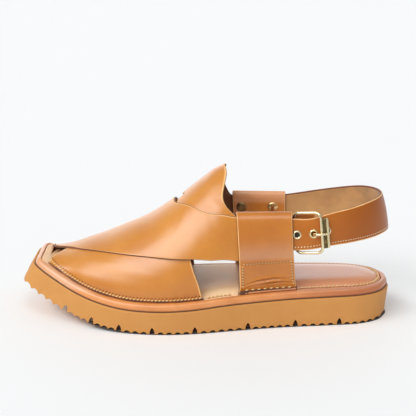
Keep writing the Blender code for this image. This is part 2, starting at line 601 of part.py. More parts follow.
def make_buckle(frame_look, leather_look):
    # The wire frame leans across the strap: its hinge bar lies under it, its far bar over it.
    place = strap_frame(0) @ Matrix.Rotation(BUCKLE_TURN, 4, "Z")
    left, right = FRAME_FRONT + WIRE, FRAME_REAR - WIRE
    half = FRAME_TALL / 2 - WIRE
    corners = ((left, -half, 180), (right, -half, 270), (right, half, 0), (left, half, 90))
    path = []
    for x, y, start in corners:
        centre_x = x + (FRAME_CORNER if x < 0 else -FRAME_CORNER)
        centre_y = y + (FRAME_CORNER if y < 0 else -FRAME_CORNER)
        for angle in np.radians(start + np.linspace(0, 90, 5)):
            path.append((centre_x + FRAME_CORNER * math.cos(angle), centre_y + FRAME_CORNER * math.sin(angle)))
    path = np.array(path)
    lean = -HINGE_DEPTH + (BAR_LIFT + HINGE_DEPTH) * (path[:, 0] - left) / (right - left)
    route = np.column_stack((path[:, 0], path[:, 1] + FRAME_LIFT, lean))
    frame = add("buckle_frame", *rod(route, WIRE, 8, closed=True), frame_look, place)
    front, rear, tall, low, high = PLATE
    bar = [np.array([(x, y + FRAME_LIFT - 0.5, z) for x, z in ((front, low), (rear, low), (rear, high - 0.5),
                                                         (rear - 0.5, high), (front + 0.3, high), (front, high - 0.3))])
           for y in (-tall / 2, tall / 2)]
    combine(frame, add("bar_plate", *prism(bar), None, place), "UNION")

    # Prong: an eye round the hinge bar, a shank under the strap, up through the middle eyelet.
    shank = ((left + 1.9, 0, -4.3), (-4, 0, -4.1), (0, 0, -3.65), (1.5, 0, -2.2), (2.4, 0, 0.6),
             (3.1, 0, 3.2), (4.8, 0, 5.35), (7.7, 0, 5.95), (9.8, 0, 5.75), (11.6, 0, 5.4))
    prong = add("buckle_prong", *rod(spline(shank, 2), PRONG, 6), frame_look, place)
    combine(prong, add("prong_eye", *turned([(BORE, -PRONG), (EYE, -PRONG), (EYE, PRONG), (BORE, PRONG)], 14),
                       None, place @ Matrix.Translation(Vector((left, 0, -HINGE_DEPTH)) * MM)
                       @ Matrix.Rotation(math.radians(90), 4, "X")), "UNION")

    # Tab: a doubled tail inside the loop, a fold round the hinge bar and a flap behind the strap.
    flap = (-HINGE_DEPTH - ROLL, -HINGE_DEPTH - BORE)
    fold = [(left + ROLL * math.cos(a), -HINGE_DEPTH + ROLL * math.sin(a))
            for a in np.radians(np.linspace(-25, 155, 10))]
    shape = ([(-26, -4.3), (left - ROLL * 0.9, -HINGE_DEPTH - 0.1), (left - ROLL * 0.4, flap[0] + 0.25),
              (left, flap[0]), (4.2, flap[0]), (4.2, flap[1]), (left + ROLL + 0.4, flap[1])] + fold + [(-26, -3.2)])
    sections = [np.array([(x, y, z) for x, z in shape]) for y in (-11.0, 14.8)]
    tab = add("buckle_tab", *prism(sections), leather_look, place)
    bar_way = place @ Matrix.Translation(Vector((left, 0, -HINGE_DEPTH)) * MM) @ Matrix.Rotation(math.radians(90), 4, "X")
    combine(tab, cylinder("hinge_bore", BORE, -25, 25, 14, bar_way), "DIFFERENCE")
    # The fold is cut away for the prong in the middle and for the frame's round corners above and
    # below, where the tail narrows too, to lie inside the loop.
    straight = half - FRAME_CORNER - GAP
    above, below = FRAME_LIFT + straight, FRAME_LIFT - straight
    fold_front, fold_rear, skim = left - ROLL - 0.7, left + ROLL + 2.2, flap[1] + 0.02
    ways = ((fold_front, fold_rear, -PRONG - GAP, PRONG + GAP, -9.0),
            (fold_front - 0.5, fold_rear, above, 18, skim), (fold_front - 0.5, fold_rear, -18, below, skim),
            (-40, left - 0.8, above, 18, -9.0), (-40, left - 0.8, -18, below, -9.0))
    for k, (front, rear, bottom, top, low) in enumerate(ways):
        way = [np.array(((front, y, low), (rear, y, low), (rear, y, 0), (front, y, 0)))
               for y in (bottom, top)]
        combine(tab, add(f"tab_way_{k}", *prism(way), None, place), "DIFFERENCE")
    return frame, prong, tab


def rivet_frame(x, z):
    # Local frame on the inner loop: Z points away from the foot.
    girth = girth_at(x, z, 1)
    here = last_point(x, girth, 0.0)
    out = Vector(last_point(x, girth, 5.0) - here).normalized()
    along = Vector((1, 0, 0))
    up = out.cross(along).normalized()
    along = up.cross(out)
    turn = Matrix((along, up, out)).transposed().to_4x4()
    turn.translation = Vector(here) * MM
    return turn


def make_rivet(name, turn, skin, lining, look):
    # Capped rivet through the whole loop, a domed head on each face.
    low, high = lining - 0.15, skin + 0.15
    profile = ((0, low - RIVET_DOME), (RIVET_HEAD * 0.7, low - RIVET_DOME * 0.75), (RIVET_HEAD, low - 0.2),
               (RIVET_HEAD, low), (RIVET_SHANK, low), (RIVET_SHANK, high), (RIVET_HEAD, high),
               (RIVET_HEAD, high + 0.2), (RIVET_HEAD * 0.7, high + RIVET_DOME * 0.75), (0, high + RIVET_DOME))
    return add(name, *turned(profile, 12), look, turn)


def build():
    for old in list(bpy.data.objects):
        bpy.data.objects.remove(old, do_unlink=True)
    tan = material("tan leather", (0.56, 0.19, 0.024), 0.35)
    saddle = material("saddle brown leather", (0.33, 0.09, 0.012), 0.4)
    footbed = material("footbed leather", (0.68, 0.33, 0.13), 0.5)
    rim = material("rim leather", (0.69, 0.25, 0.07), 0.45)
    rubber = material("honey rubber", (0.6, 0.3, 0.07), 0.7)
    brass = material("polished brass", (0.8, 0.68, 0.4), 0.2, 1.0)

    pieces = [make_outsole(rubber), make_midsole(rim), make_insole(footbed)]
    upper = make_upper(tan)
    outer_loop = make_loop("loop_lateral", -1, 7.4, -4.35, 50, LOOP_RISE, LOOP_FRONT, LOOP_REAR, tan)
    inner_skin, inner_lining = 5.7, -2.3
    inner_loop = make_loop("loop_medial", 1, inner_skin, inner_lining, 46, LOOP_RISE - 0.7, LOOP_FRONT - 1.2,
                           LOOP_REAR - 0.8, saddle)
    pieces += [upper, outer_loop, inner_loop]

    holes = [cylinder(name + "_hole", EYELET_BARREL + GAP + 0.05, -5, 5, 12, strap_frame(run))
             for name, run in EYELET_RUNS.items()]
    rivets = {"rivet_front": rivet_frame(28.3, 78.3), "rivet_rear": rivet_frame(54.3, 78.6)}
    for name, turn in rivets.items():
        hole = cylinder(name + "_hole", RIVET_SHANK + GAP + 0.05, -12, 14, 12, turn)
        combine(inner_loop, hole, "DIFFERENCE")
        if name == "rivet_rear":
            holes.append(hole)
        else:
            combine(upper, hole, "DIFFERENCE")
        pieces.append(make_rivet(name, turn, inner_skin, inner_lining, brass))
    pieces.append(make_heel_strap(saddle, holes))
    pieces += [make_eyelet(name, run, brass) for name, run in EYELET_RUNS.items()]
    pieces += make_buckle(brass, saddle)

    # Carry the shoe to the middle of its own box, on the floor.
    graph = bpy.context.evaluated_depsgraph_get()
    graph.update()
    corners = [piece.evaluated_get(graph).matrix_world @ Vector(c)
               for piece in pieces for c in piece.evaluated_get(graph).bound_box]
    low = Vector([min(c[k] for c in corners) for k in range(3)])
    high = Vector([max(c[k] for c in corners) for k in range(3)])
    carrier = bpy.data.objects.new("shoe_frame", None)
    bpy.context.scene.collection.objects.link(carrier)
    for thing in list(bpy.data.objects):
        if thing is not carrier:
            thing.parent = carrier
    carrier.location = (-(low.x + high.x) / 2, -(low.y + high.y) / 2, -low.z)


build()
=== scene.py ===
# Kaptan chappal, left shoe: smooth leather, thread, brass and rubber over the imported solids.
# Shapes are in millimetres in the shoe's own frame (toe to -X, little-toe side to -Y, floor at
# z = 0) and are carried to the frame, in metres, when they become meshes.
import bpy
import math
import numpy as np
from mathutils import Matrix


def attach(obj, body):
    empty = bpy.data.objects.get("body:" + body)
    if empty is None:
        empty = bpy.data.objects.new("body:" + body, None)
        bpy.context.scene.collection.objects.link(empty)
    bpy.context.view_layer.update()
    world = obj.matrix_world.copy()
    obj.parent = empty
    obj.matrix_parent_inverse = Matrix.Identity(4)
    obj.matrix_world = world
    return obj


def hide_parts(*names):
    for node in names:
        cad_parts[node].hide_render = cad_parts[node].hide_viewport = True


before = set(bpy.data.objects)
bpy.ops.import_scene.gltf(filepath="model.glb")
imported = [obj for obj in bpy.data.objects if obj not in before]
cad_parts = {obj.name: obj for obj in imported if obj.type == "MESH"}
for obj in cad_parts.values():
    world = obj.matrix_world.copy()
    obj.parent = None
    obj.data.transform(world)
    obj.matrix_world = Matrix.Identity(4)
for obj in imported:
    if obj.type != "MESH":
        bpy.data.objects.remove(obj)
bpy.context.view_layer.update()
print("frame:", len(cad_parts), "nodes")

mm = 0.001
shoeShift = np.array((1.798, 5.25, 0.0))    # from the shoe's own frame to the frame, in mm

# The shoe's own sizes.
sole = {
    "toeSpring": 27.0, "springStart": -38.0, "springReach": 112.0, "springPower": 2.5,
    "rimHeight": 6.0, "recess": 3.0, "slotInset": 7.2, "gap": 0.3, "leather": 2.0,
    "normalInset": 5.0, "middleLine": (-112.0, 108.0), "sideSteps": 12,
}
panelInset = sole["slotInset"] + sole["gap"] + sole["leather"]
seatHeight = sole["recess"] + sole["gap"]

outlineTable = {    # rubber, from above, round from the toe by the outer side and the heel
    "x": (-151.5, -151.5, -149.5, -142, -130, -110, -90, -65, -35, -8, 25, 60, 99, 122, 138, 146,
          147.3, 146, 138, 122, 99, 60, 25, -8, -35, -65, -95, -125, -144, -150, -151.5),
    "y": (12, -4, -11.5, -18.8, -27, -39.8, -49.5, -57.3, -60.5, -58.2, -51, -44.5, -40, -36.2, -27, -13,
          -4, 5, 18.5, 28, 32, 34.5, 37, 41.5, 46.5, 50, 48.5, 44, 40.8, 35, 27),
}
rubberTable = {     # thickness between tread and leather rim
    "x":     (-152, -128, -95, -40, -15, 10, 45, 80, 148),
    "thick": (17, 18.2, 18.5, 18.4, 19.1, 20.9, 22.3, 23.3, 24.1),
}
lastTable = {       # sections of the last: ridge height and place, and swell of each side
    "x":       (-143, -128, -112, -95, -78, -60, -45, -27, -12, 2, 14, 45, 72),
    "ridge":   (24.5, 35.5, 47, 56, 64, 71.3, 77.5, 88, 100.8, 111.8, 119.5, 119.5, 119.5),
    "middle":  (12, 11.2, 10, 9, 7.5, 6, 4.5, 2.5, 1, 0.5, 0, 0, 0),
    "outer":   (0, 0.5, 1, 1.5, 2, 2, 2, 2, 2, 2, 2, 4.5, 7),
    "inner":   (0, 0.5, 1, 1.5, 2, 2.5, 3, 4, 6, 9, 12, 12, 12),
}
# Panel edges on the last as x and girth: -1 outer seat, 0 ridge, 1 inner seat.
outerPanel = {
    "foreX":     (-141, -139, -135.5, -130.5, -121, -106, -88, -70, -47, -26, 0, 20, 44),
    "foreGirth": (-1, -0.42, -0.2, -0.05, 0.1, 0.26, 0.39, 0.48, 0.56, 0.64, 0.74, 0.772, 0.78),
    "aftX":      (-3.8, -7, -11.3, -15, -18.5, -19, -16.5, -12, -5, 4, 12, 19.5, 44),
    "aftGirth":  (-1, -0.89, -0.78, -0.64, -0.48, -0.3, -0.12, 0.04, 0.2, 0.36, 0.46, 0.54, 0.57),
}
innerPanel = {
    "foreX":     (-141.4, -141.3, -139.2, -131, -117, -99, -73.5, -47.5, -26, 1.5, 16.4, 24, 44),
    "foreGirth": (1, 0.55, 0.2, -0.04, -0.27, -0.375, -0.476, -0.561, -0.65, -0.753, -0.782, -0.788,
                  -0.792),
    "aftX":      (-12, -14, -18, -21.5, -23.8, -23.9, -22.3, -17.8, -12.8, -3, 8.2, 20, 44),
    "aftGirth":  (1, 0.86, 0.64, 0.4, 0.16, -0.035, -0.125, -0.208, -0.29, -0.42, -0.5, -0.535, -0.55),
}
tonguePanel = {
    "foreX":     (28, 14, 0, -12, -20, -23.5, -16.8, -19, -12, 0, 13, 28),
    "foreGirth": (-0.63, -0.57, -0.47, -0.33, -0.19, -0.085, 0, 0.1, 0.26, 0.45, 0.56, 0.61),
    "aftX":      (28, 21.8, 15.6, 12.9, 12.1, 14.9, 13.9, 14.9, 12.6, 13.6, 18.6, 28),
    "aftGirth":  (-0.55, -0.528, -0.478, -0.435, -0.36, -0.17, 0, 0.17, 0.37, 0.43, 0.535, 0.55),
}
strapTable = {      # lower and upper edge of the heel strap between the loops
    "lowX": (80, 97, 113, 128.5, 139.6, 144.9, 142, 131.4, 115, 95, 78),
    "lowY": (-40.2, -39.8, -37.3, -29.5, -18, -4, 11, 24.5, 32.8, 35, 34.4),
    "lowZ": (64, 67.1, 69.1, 70.3, 71, 70.4, 69.9, 68.9, 67.3, 65.3, 63.8),
    "topX": (80, 97, 112, 125.1, 134.3, 138.9, 136.2, 126.6, 112, 94, 78),
    "topY": (-36.9, -36.7, -33.6, -26.5, -16, -3, 10.5, 22.5, 30.2, 32.8, 32.4),
    "topZ": (88.5, 93.4, 96.4, 99.2, 100.2, 100.4, 100.5, 99.3, 96.3, 93.3, 91.0),
}


# Curves, the sole's surface and the last.
def columnAt(table, column, x):
    # Monotone cubic through one column of a table.
    xs, ys = np.array(table["x"], float), np.array(table[column], float)
    x = np.clip(x, xs[0], xs[-1])
    step = np.diff(xs)
    rise = np.diff(ys) / step
    left, right = rise[:-1], rise[1:]
    inner = np.where(left * right > 0, 2 * left * right / np.where(left + right == 0, 1, left + right), 0)
    slope = np.concatenate(([rise[0]], inner, [rise[-1]]))
    i = np.clip(np.searchsorted(xs, x, side="right") - 1, 0, len(step) - 1)
    t = (x - xs[i]) / step[i]
    return (ys[i] * (1 + 2 * t) * (1 - t) ** 2 + slope[i] * step[i] * t * (1 - t) ** 2
            + ys[i + 1] * t * t * (3 - 2 * t) + slope[i + 1] * step[i] * t * t * (t - 1))


def curveAt(points, where, closed=False):
    # Catmull-Rom curve through points (along axis 0) at parameters in point steps.
    p = np.asarray(points, float)
    n = len(p)
    where = np.asarray(where, float)
    if closed:
        k = np.floor(where).astype(int)
        a, b, c, d = (p[(k + s) % n] for s in (-1, 0, 1, 2))
    else:
        full = np.concatenate((2 * p[:1] - p[1:2], p, 2 * p[-1:] - p[-2:-1]))
        k = np.clip(np.floor(where).astype(int), 0, n - 2)
        a, b, c, d = (full[k + s] for s in (0, 1, 2, 3))
    t = (where - k).reshape(where.shape + (1,) * (a.ndim - where.ndim))
    cubic = 3 * b - a - 3 * c + d
    return 0.5 * (2 * b + (c - a) * t + (2 * a - 5 * b + 4 * c - d) * t * t + cubic * t ** 3)


def blend(x, start, end):
    # Smoothstep from 0 to 1.
    t = np.clip((x - start) / (end - start), 0, 1)
    return t * t * (3 - 2 * t)


def unit(v):
    return v / np.maximum(np.linalg.norm(v, axis=-1), 1e-9)[..., None]


def runOf(path):
    # Length along a polyline at each of its points.
    return np.concatenate(([0], np.cumsum(np.linalg.norm(np.diff(path, axis=0), axis=1))))


def pointsAt(where, run, path):
    # Points of a polyline by the length along it.
    return np.stack([np.interp(where, run, path[:, k]) for k in range(3)], -1)


def normals(grid):
    return unit(np.cross(np.gradient(grid, axis=0), np.gradient(grid, axis=1)))


def tread(x):
    # The tread's height at x and its slope, as it curls up toward the toe: rise = a * reach^p.
    reach, power = np.maximum(0, sole["springStart"] - x) / sole["springReach"], sole["springPower"]
    rise = sole["toeSpring"] * reach ** power
    return rise, -sole["toeSpring"] * power / sole["springReach"] * reach ** (power - 1)


def solePoint(x, y, height):
    # A point at a height square to the tread.
    x, y, height = np.broadcast_arrays(np.asarray(x, float), y, height)
    rise, slope = tread(x)
    length = np.sqrt(1 + slope ** 2)
    return np.stack((x - height * slope / length, y, rise + height / length), -1)


def rubberThick(x):
    return columnAt(rubberTable, "thick", x)


def soleHeight(points):
    # The tread place and the height above the rubber of points, found by stepping back.
    place = points[..., 0]
    for _ in range(8):
        rise, slope = tread(place)
        height = (points[..., 2] - rise) * np.sqrt(1 + slope ** 2)
        place = points[..., 0] + height * slope / np.sqrt(1 + slope ** 2)
    return place, height - rubberThick(place)


def outline(inset, steps):
    # The rubber's outline moved in: square to the edge at first, then toward the middle line.
    points = np.column_stack((outlineTable["x"], outlineTable["y"]))
    fine = curveAt(points, np.arange(len(points) * steps) / steps, closed=True)
    normal = unit((np.roll(fine, -1, 0) - np.roll(fine, 1, 0))[:, ::-1] * (-1, 1))
    heel = fine[:, 0].argmax()
    x = np.clip(fine[:, 0], *sole["middleLine"])
    outer = np.interp(x, fine[:heel, 0], fine[:heel, 1])
    inner = np.interp(x, fine[:heel:-1, 0], fine[:heel:-1, 1])
    straight = sole["normalInset"]
    inward = unit(np.stack((x, (outer + inner) / 2), 1) - (fine + straight * normal))
    inset = np.asarray(inset, float)[..., None]
    return fine + np.minimum(inset, straight) * normal + np.maximum(0, inset - straight) * inward


def sideY(x, inset, side):
    # One side of the inset outline at x.
    ring = outline(inset, sole["sideSteps"])
    heel = ring[:, 0].argmax()
    half = ring[:heel + 1] if side < 0 else np.vstack((ring[heel:], ring[:1]))[::-1]
    return np.interp(x, np.maximum.accumulate(half[:, 0]) + np.arange(len(half)) * 1e-7, half[:, 1])


def lastSurface(x, girth):
    # Sides are quarter ellipses that swell by a sin(2 angle) term.
    x = np.asarray(x, float)
    angle = np.asarray(girth) * math.pi / 2
    foot = rubberThick(x) + seatHeight
    middle = columnAt(lastTable, "middle", x)
    outer = ((sideY(x, panelInset, -1) - middle) * np.sin(-angle)
             - columnAt(lastTable, "outer", x) * np.sin(-2 * angle))
    inner = ((sideY(x, panelInset, 1) - middle) * np.sin(angle)
             + columnAt(lastTable, "inner", x) * np.sin(2 * angle))
    return solePoint(x, middle + np.where(angle < 0, outer, inner),
                     foot + (columnAt(lastTable, "ridge", x) - foot) * np.cos(angle))


def lastPoint(x, girth, offset):
    # A point off the last along its own normal.
    x, girth, offset = np.broadcast_arrays(np.asarray(x, float), girth, offset)
    along = lastSurface(x + 0.5, girth) - lastSurface(x - 0.5, girth)
    around = lastSurface(x, girth + 0.01) - lastSurface(x, girth - 0.01)
    return lastSurface(x, girth) + unit(np.cross(along, around)) * offset[..., None]


def girthAt(x, z, side):
    # The girth at which one side of the last reaches a height.
    foot = rubberThick(x) + seatHeight
    rise = (z - foot) / (columnAt(lastTable, "ridge", x) - foot)
    return side * np.arccos(np.clip(rise, 0, 1)) * 2 / math.pi


# Meshes.
def addPiece(name, points, faces, looks, which=None, smoothAngle=40, slot=None, replaces=()):
    # A mesh piece that rides on the shoe. Faces is a list of arrays of three or four corners.
    mesh = bpy.data.meshes.new(name)
    points = (np.asarray(points, float).reshape(-1, 3) + shoeShift) * mm
    corners = np.concatenate([np.asarray(f).ravel() for f in faces])
    counts = np.concatenate([np.full(len(f), np.asarray(f).shape[1]) for f in faces])
    mesh.vertices.add(len(points))
    mesh.vertices.foreach_set("co", points.ravel())
    mesh.loops.add(len(corners))
    mesh.loops.foreach_set("vertex_index", corners.astype(np.int32))
    mesh.polygons.add(len(counts))
    starts = np.concatenate(([0], np.cumsum(counts)[:-1]))
    mesh.polygons.foreach_set("loop_start", starts.astype(np.int32))
    mesh.update(calc_edges=True)
    mesh.validate()
    for look in looks:
        mesh.materials.append(look)
    if which is not None:
        mesh.polygons.foreach_set("material_index", np.concatenate(which).astype(np.int32))
    mesh.shade_smooth()
    mesh.set_sharp_from_angle(angle=math.radians(smoothAngle))
    piece = bpy.data.objects.new(name, mesh)
    bpy.context.scene.collection.objects.link(piece)
    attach(piece, "root")
    if replaces:
        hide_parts(*replaces)
    return piece


def outward(points, faces):
    # Turns a closed body's faces so that its signed volume is positive.
    points = np.asarray(points, float).reshape(-1, 3)
    volume = 0
    for f in faces:
        a, b, c = points[f[:, 0]], points[f[:, 1]], points[f[:, 2]]
        volume += (np.cross(a, b) * c).sum()
        if f.shape[1] == 4:
            volume += (np.cross(a, c) * points[f[:, 3]]).sum()
    return points, [f[:, ::-1] for f in faces] if volume < 0 else list(faces)


def gridQuads(rows, columns, closedRows=False, closedColumns=False):
    # Corner numbers of a grid of rows by columns points, optionally joined end to end.
    i = np.arange(rows if closedRows else rows - 1)[:, None]
    j = np.arange(columns if closedColumns else columns - 1)[None]
    a = i * columns + j
    b = i * columns + (j + 1) % columns
    c = (i + 1) % rows * columns + (j + 1) % columns
    d = (i + 1) % rows * columns + j
    return np.stack((a, b, c, d), -1).reshape(-1, 4)


def ringBody(layers):
    # Rings of equal count stacked into a closed body, ends closed by strips across.
    rows, n = len(layers), len(layers[0])
    faces = [gridQuads(rows, n, closedColumns=True)]
    i = np.arange((n - 1) // 2)
    for base, turn in ((0, -1), ((rows - 1) * n, 1)):
        a, b, c, d = base + i, base + i + 1, base + n - 2 - i, base + n - 1 - i
        faces += [np.stack((a, b, d), -1)[:, ::turn], np.stack((b, c, d), -1)[b < c][:, ::turn]]
    return outward(np.concatenate(layers), faces)


def lofted(rows, fan=True, closed=False):
    # A body through rows of equal profiles, joined end to end or closed by two ends, which are
    # fans or one face each.
    rows = np.asarray(rows, float)
    count, n = rows.shape[:2]
    faces = [gridQuads(count, n, closedRows=closed, closedColumns=True)]
    i = np.arange(1, n - 1)
    end = np.stack((i * 0, i, i + 1), -1) if fan else np.arange(n)[None]
    if not closed:
        faces += [end[:, ::-1], end + (count - 1) * n]
    return outward(rows, faces)


def applyAll(piece):
    # Bakes the piece's modifiers into its own mesh.
    graph = bpy.context.evaluated_depsgraph_get()
    made = bpy.data.meshes.new_from_object(piece.evaluated_get(graph))
    piece.modifiers.clear()
    piece.data = made
    made.set_sharp_from_angle(angle=math.radians(38))


def cutBy(piece, points, faces):
    # Takes a closed cutter out of a piece.
    cutter = addPiece("cutter", points, faces, [])
    change = piece.modifiers.new("cut", "BOOLEAN")
    change.operation, change.solver, change.object = "DIFFERENCE", "EXACT", cutter
    applyAll(piece)
    bpy.data.objects.remove(cutter, do_unlink=True)


surfaces = {}       # outer face of each leather sheet, for what is sewn on it


def bump(distance, width):
    # A soft ridge across a distance: cos^2 inside the width, nothing outside.
    return np.cos(np.clip(distance / width, -1, 1) * math.pi / 2) ** 2


def ridgeAlong(x, z, points, width):
    # How near (x, z) is to a creased line through points, as a bump that fades at its ends.
    points = np.array(points, float)
    share = bump((x - points[:, 0].mean()) / (np.ptp(points[:, 0]) / 2 + 2 * width), 1) ** 0.5
    return bump(z - np.interp(x, points[:, 0], points[:, 1]), width) * share


def sheet(name, front, back, looks, rowStep=1.6, columnStep=1.6, roundness=0.7, shape=None,
          core=(0.12, 0.12), **more):
    # Leather from two coarse grids, front and back, refined by Catmull-Rom. Near every edge the
    # faces close in on the middle by sqrt(1 - (1 - d / r)^2), d being the distance from the edge.
    # Looks are the face, the back, the cut edge and its core, burnished and darkened further as painted
    # shade, which takes the share "core" of the bevel at the fore and the aft side.
    def stations(step, axis):
        span = np.linalg.norm(np.diff(front, axis=axis), axis=-1).mean(1 - axis)
        reach = np.concatenate(([0], np.cumsum(span)))
        count = max(2, round((reach[-1] - 2 * roundness) / step))
        nearEdge = roundness * (1 - np.cos(np.linspace(0, math.pi / 2, 6)))[:-1]
        inner = np.linspace(roundness, reach[-1] - roundness, count + 1)
        run = np.concatenate((nearEdge, inner, reach[-1] - nearEdge[::-1]))
        edge = np.minimum(run, reach[-1] - run)
        return np.interp(run, reach, np.arange(len(reach))), edge
    u, edgeU = stations(rowStep, 0)
    v, edgeV = stations(columnStep, 1)

    def refine(grid):
        fine = curveAt(grid, u)
        return curveAt(fine.swapaxes(0, 1), v).swapaxes(0, 1)
    front, back = refine(np.asarray(front, float)), refine(np.asarray(back, float))
    edge = np.minimum(edgeU[:, None], edgeV[None])
    if shape is not None:
        out = normals(front)
        away = np.sign((out * (front - back)).sum(-1))[..., None]
        front = front + out * away * shape(front)[..., None]
    surfaces[name] = front
    swell = np.sqrt(np.clip(1 - (1 - np.minimum(edge / roundness, 1)) ** 2, 0, 1))[..., None]
    middle = (front + back) / 2
    front, back = middle + (front - middle) * swell, middle + (back - middle) * swell
    rows, columns = front.shape[:2]
    flat = np.arange(rows * columns).reshape(rows, columns)
    inside = flat + rows * columns
    rim = np.zeros((rows, columns), bool)
    rim[[0, -1]] = rim[:, [0, -1]] = True
    inside[rim] = flat[rim]
    one = gridQuads(rows, columns)
    two = inside.ravel()[gridQuads(rows, columns)[:, ::-1]]
    cell = edge[:-1, :-1] + edge[1:, :-1] + edge[:-1, 1:] + edge[1:, 1:]
    isEdge = (cell / 4 < roundness * 0.85).ravel()
    share = np.where(np.arange(columns - 1) < columns // 2, *core)[None]
    isCore = (cell / 4 < roundness * share).ravel()
    which = [np.where(isCore, 3, np.where(isEdge, 2, 0)), np.where(isEdge, 3, 1)]
    points, faces = outward(np.concatenate((front.reshape(-1, 3), back.reshape(-1, 3))), [one, two])
    return addPiece(name, points, faces, looks, which, smoothAngle=60, **more)


def tube(path, radius, sides, closed=False):
    # A round rod along points; radius may vary. Open ends close on domes.
    path = np.asarray(path, float)
    radius = np.broadcast_to(np.asarray(radius, float), len(path))
    if not closed:
        dome = np.sin(np.linspace(0, math.pi / 2, 5))[:-1]
        lead = radius[0] * (1 - dome)[:, None] * unit(path[0] - path[1])
        tail = radius[-1] * (1 - dome[::-1])[:, None] * unit(path[-1] - path[-2])
        flat = np.sqrt(np.clip(1 - (1 - dome) ** 2, 0, 1))
        radius = np.concatenate((radius[0] * flat, radius, radius[-1] * flat[::-1]))
        path = np.concatenate((path[0] + lead, path, path[-1] + tail))
        along = np.gradient(path, axis=0)
    else:
        along = np.roll(path, -1, 0) - np.roll(path, 1, 0)
    along = unit(along)
    spread = np.linalg.eigh(np.cov((path - path.mean(0)).T))[1][:, 0]
    one = unit(np.cross(along, spread))
    two = np.cross(along, one)
    angle = np.arange(sides) * 2 * math.pi / sides
    across = np.cos(angle)[None, :, None] * one[:, None] + np.sin(angle)[None, :, None] * two[:, None]
    return lofted(path[:, None] + radius[:, None, None] * across, closed=closed)


def turned(profile, sides):
    # A solid turned about Z from (radius, height) rows; it closes on the axis or on itself.
    profile = np.asarray(profile, float)
    closed = profile[0, 0] > 0.05
    body = profile if closed else profile[1:-1]
    angle = np.arange(sides) * 2 * math.pi / sides
    ring = np.stack((np.cos(angle), np.sin(angle), np.zeros(sides)), -1)
    points = (body[:, :1, None] * ring[None] + body[:, 1:, None] * np.array((0, 0, 1.0))).reshape(-1, 3)
    faces = [gridQuads(len(body), sides, closedRows=closed, closedColumns=True)]
    if not closed:
        n, i = len(points), np.arange(sides)
        points = np.concatenate((points, [(0, 0, profile[0, 1]), (0, 0, profile[-1, 1])]))
        last = n - sides + i
        faces += [np.stack((i * 0 + n, np.roll(i, -1), i), -1),
                  np.stack((i * 0 + n + 1, last, np.roll(last, -1)), -1)]
    return outward(points, faces)


def pin(radius, low, high, sides):
    return turned(((0, low), (radius, low), (radius, high), (0, high)), sides)


def placed(body, place):
    # A body moved by a frame of origin and three axes.
    points, (origin, x, y, z) = body[0], place
    return origin + points[..., :1] * x + points[..., 1:2] * y + points[..., 2:] * z, body[1]


def laidOver(body, origin):
    # A body turned about Z, tipped so that its axis runs along Y through the origin.
    return body[0][:, (0, 2, 1)] * (1, -1, 1) + origin, body[1]


def joined(parts):
    # Several (points, faces) into one.
    points, faces, start = [], [], 0
    for p, f in parts:
        points.append(np.asarray(p).reshape(-1, 3))
        faces += [np.asarray(q) + start for q in f]
        start += len(points[-1])
    return np.concatenate(points), faces


def facing(line, normal):
    # Normals turned away from the middle of the foot.
    centre = line * (1, 0, 0) + (0, 0, 45)
    return normal * np.sign((normal * (line - centre)).sum(-1))[:, None]


def surfaceLine(name, level):
    # The line on a sheet's outer face a level above the rubber, going up from its seat, with
    # the face's normals there.
    grid = surfaces[name]
    out, height = normals(grid), soleHeight(grid)[1]
    row = np.argmax(height > level, axis=0).clip(1)
    column = np.arange(grid.shape[1])
    low, high = height[row - 1, column], height[row, column]
    t = np.clip((level - low) / (high - low), 0, 1)[:, None]
    line = grid[row - 1, column] * (1 - t) + grid[row, column] * t
    return line, facing(line, out[row, column])


def gridLine(name, rows, columns):
    # A line on a sheet's outer face by fractional rows and columns, with its normals.
    grid = surfaces[name]

    def pick(g):
        r, c = np.clip(rows, 0, len(g) - 1.001), np.clip(columns, 0, g.shape[1] - 1.001)
        i, j = r.astype(int), c.astype(int)
        u, v = (r - i)[:, None], (c - j)[:, None]
        return ((g[i, j] * (1 - v) + g[i, j + 1] * v) * (1 - u)
                + (g[i + 1, j] * (1 - v) + g[i + 1, j + 1] * v) * u)
    return pick(grid), facing(pick(grid), unit(pick(normals(grid))))


def stitchRow(path, normal, pitch, length, radius, lift=0.0, slant=0.0):
    # Thread stitches: each is a bent spindle, centre high and ends dipping into the leather.
    path = np.asarray(path, float)
    normal = np.broadcast_to(normal, path.shape)
    run = runOf(path)
    count = max(1, round(run[-1] / pitch))
    where = (np.arange(count) + 0.5) * run[-1] / count
    spot, out = pointsAt(where, run, path), unit(pointsAt(where, run, normal))
    step = min(pitch, 1.0) / 2
    along = unit(pointsAt(where + step, run, path) - pointsAt(where - step, run, path))
    along = unit(along + unit(np.cross(out, along)) * slant)
    side = unit(np.cross(out, along))
    s = np.linspace(-1, 1, 7)
    angle = np.arange(6) * math.pi / 3
    thick = radius * np.sqrt(np.clip(1 - np.abs(s) ** 3, 0, 1))
    thick[[0, -1]] = 0.02 * radius
    centre = spot[:, None] + along[:, None] * (s * length / 2)[None, :, None]
    centre = centre + out[:, None] * (lift + radius * (0.9 - 1.3 * s ** 4))[None, :, None]
    loop = (np.cos(angle)[None, None, :, None] * side[:, None, None]
            + np.sin(angle)[None, None, :, None] * out[:, None, None])
    points = centre[:, :, None] + loop * thick[None, :, None, None]
    ends = np.array(((3, 2, 1, 0), (5, 4, 3, 0)))
    one = np.concatenate((gridQuads(len(s), 6, closedColumns=True), ends, ends[:, ::-1] + (len(s) - 1) * 6))
    faces = (one[None] + (np.arange(len(spot)) * len(s) * 6)[:, None, None]).reshape(-1, 4)
    return outward(points, [faces])


# Materials.
def linear(code):
    # sRGB hex to linear colour with alpha.
    parts = np.array([int(code[k:k + 2], 16) for k in (1, 3, 5)]) / 255
    return (*np.where(parts > 0.04045, ((parts + 0.055) / 1.055) ** 2.4, parts / 12.92), 1.0)


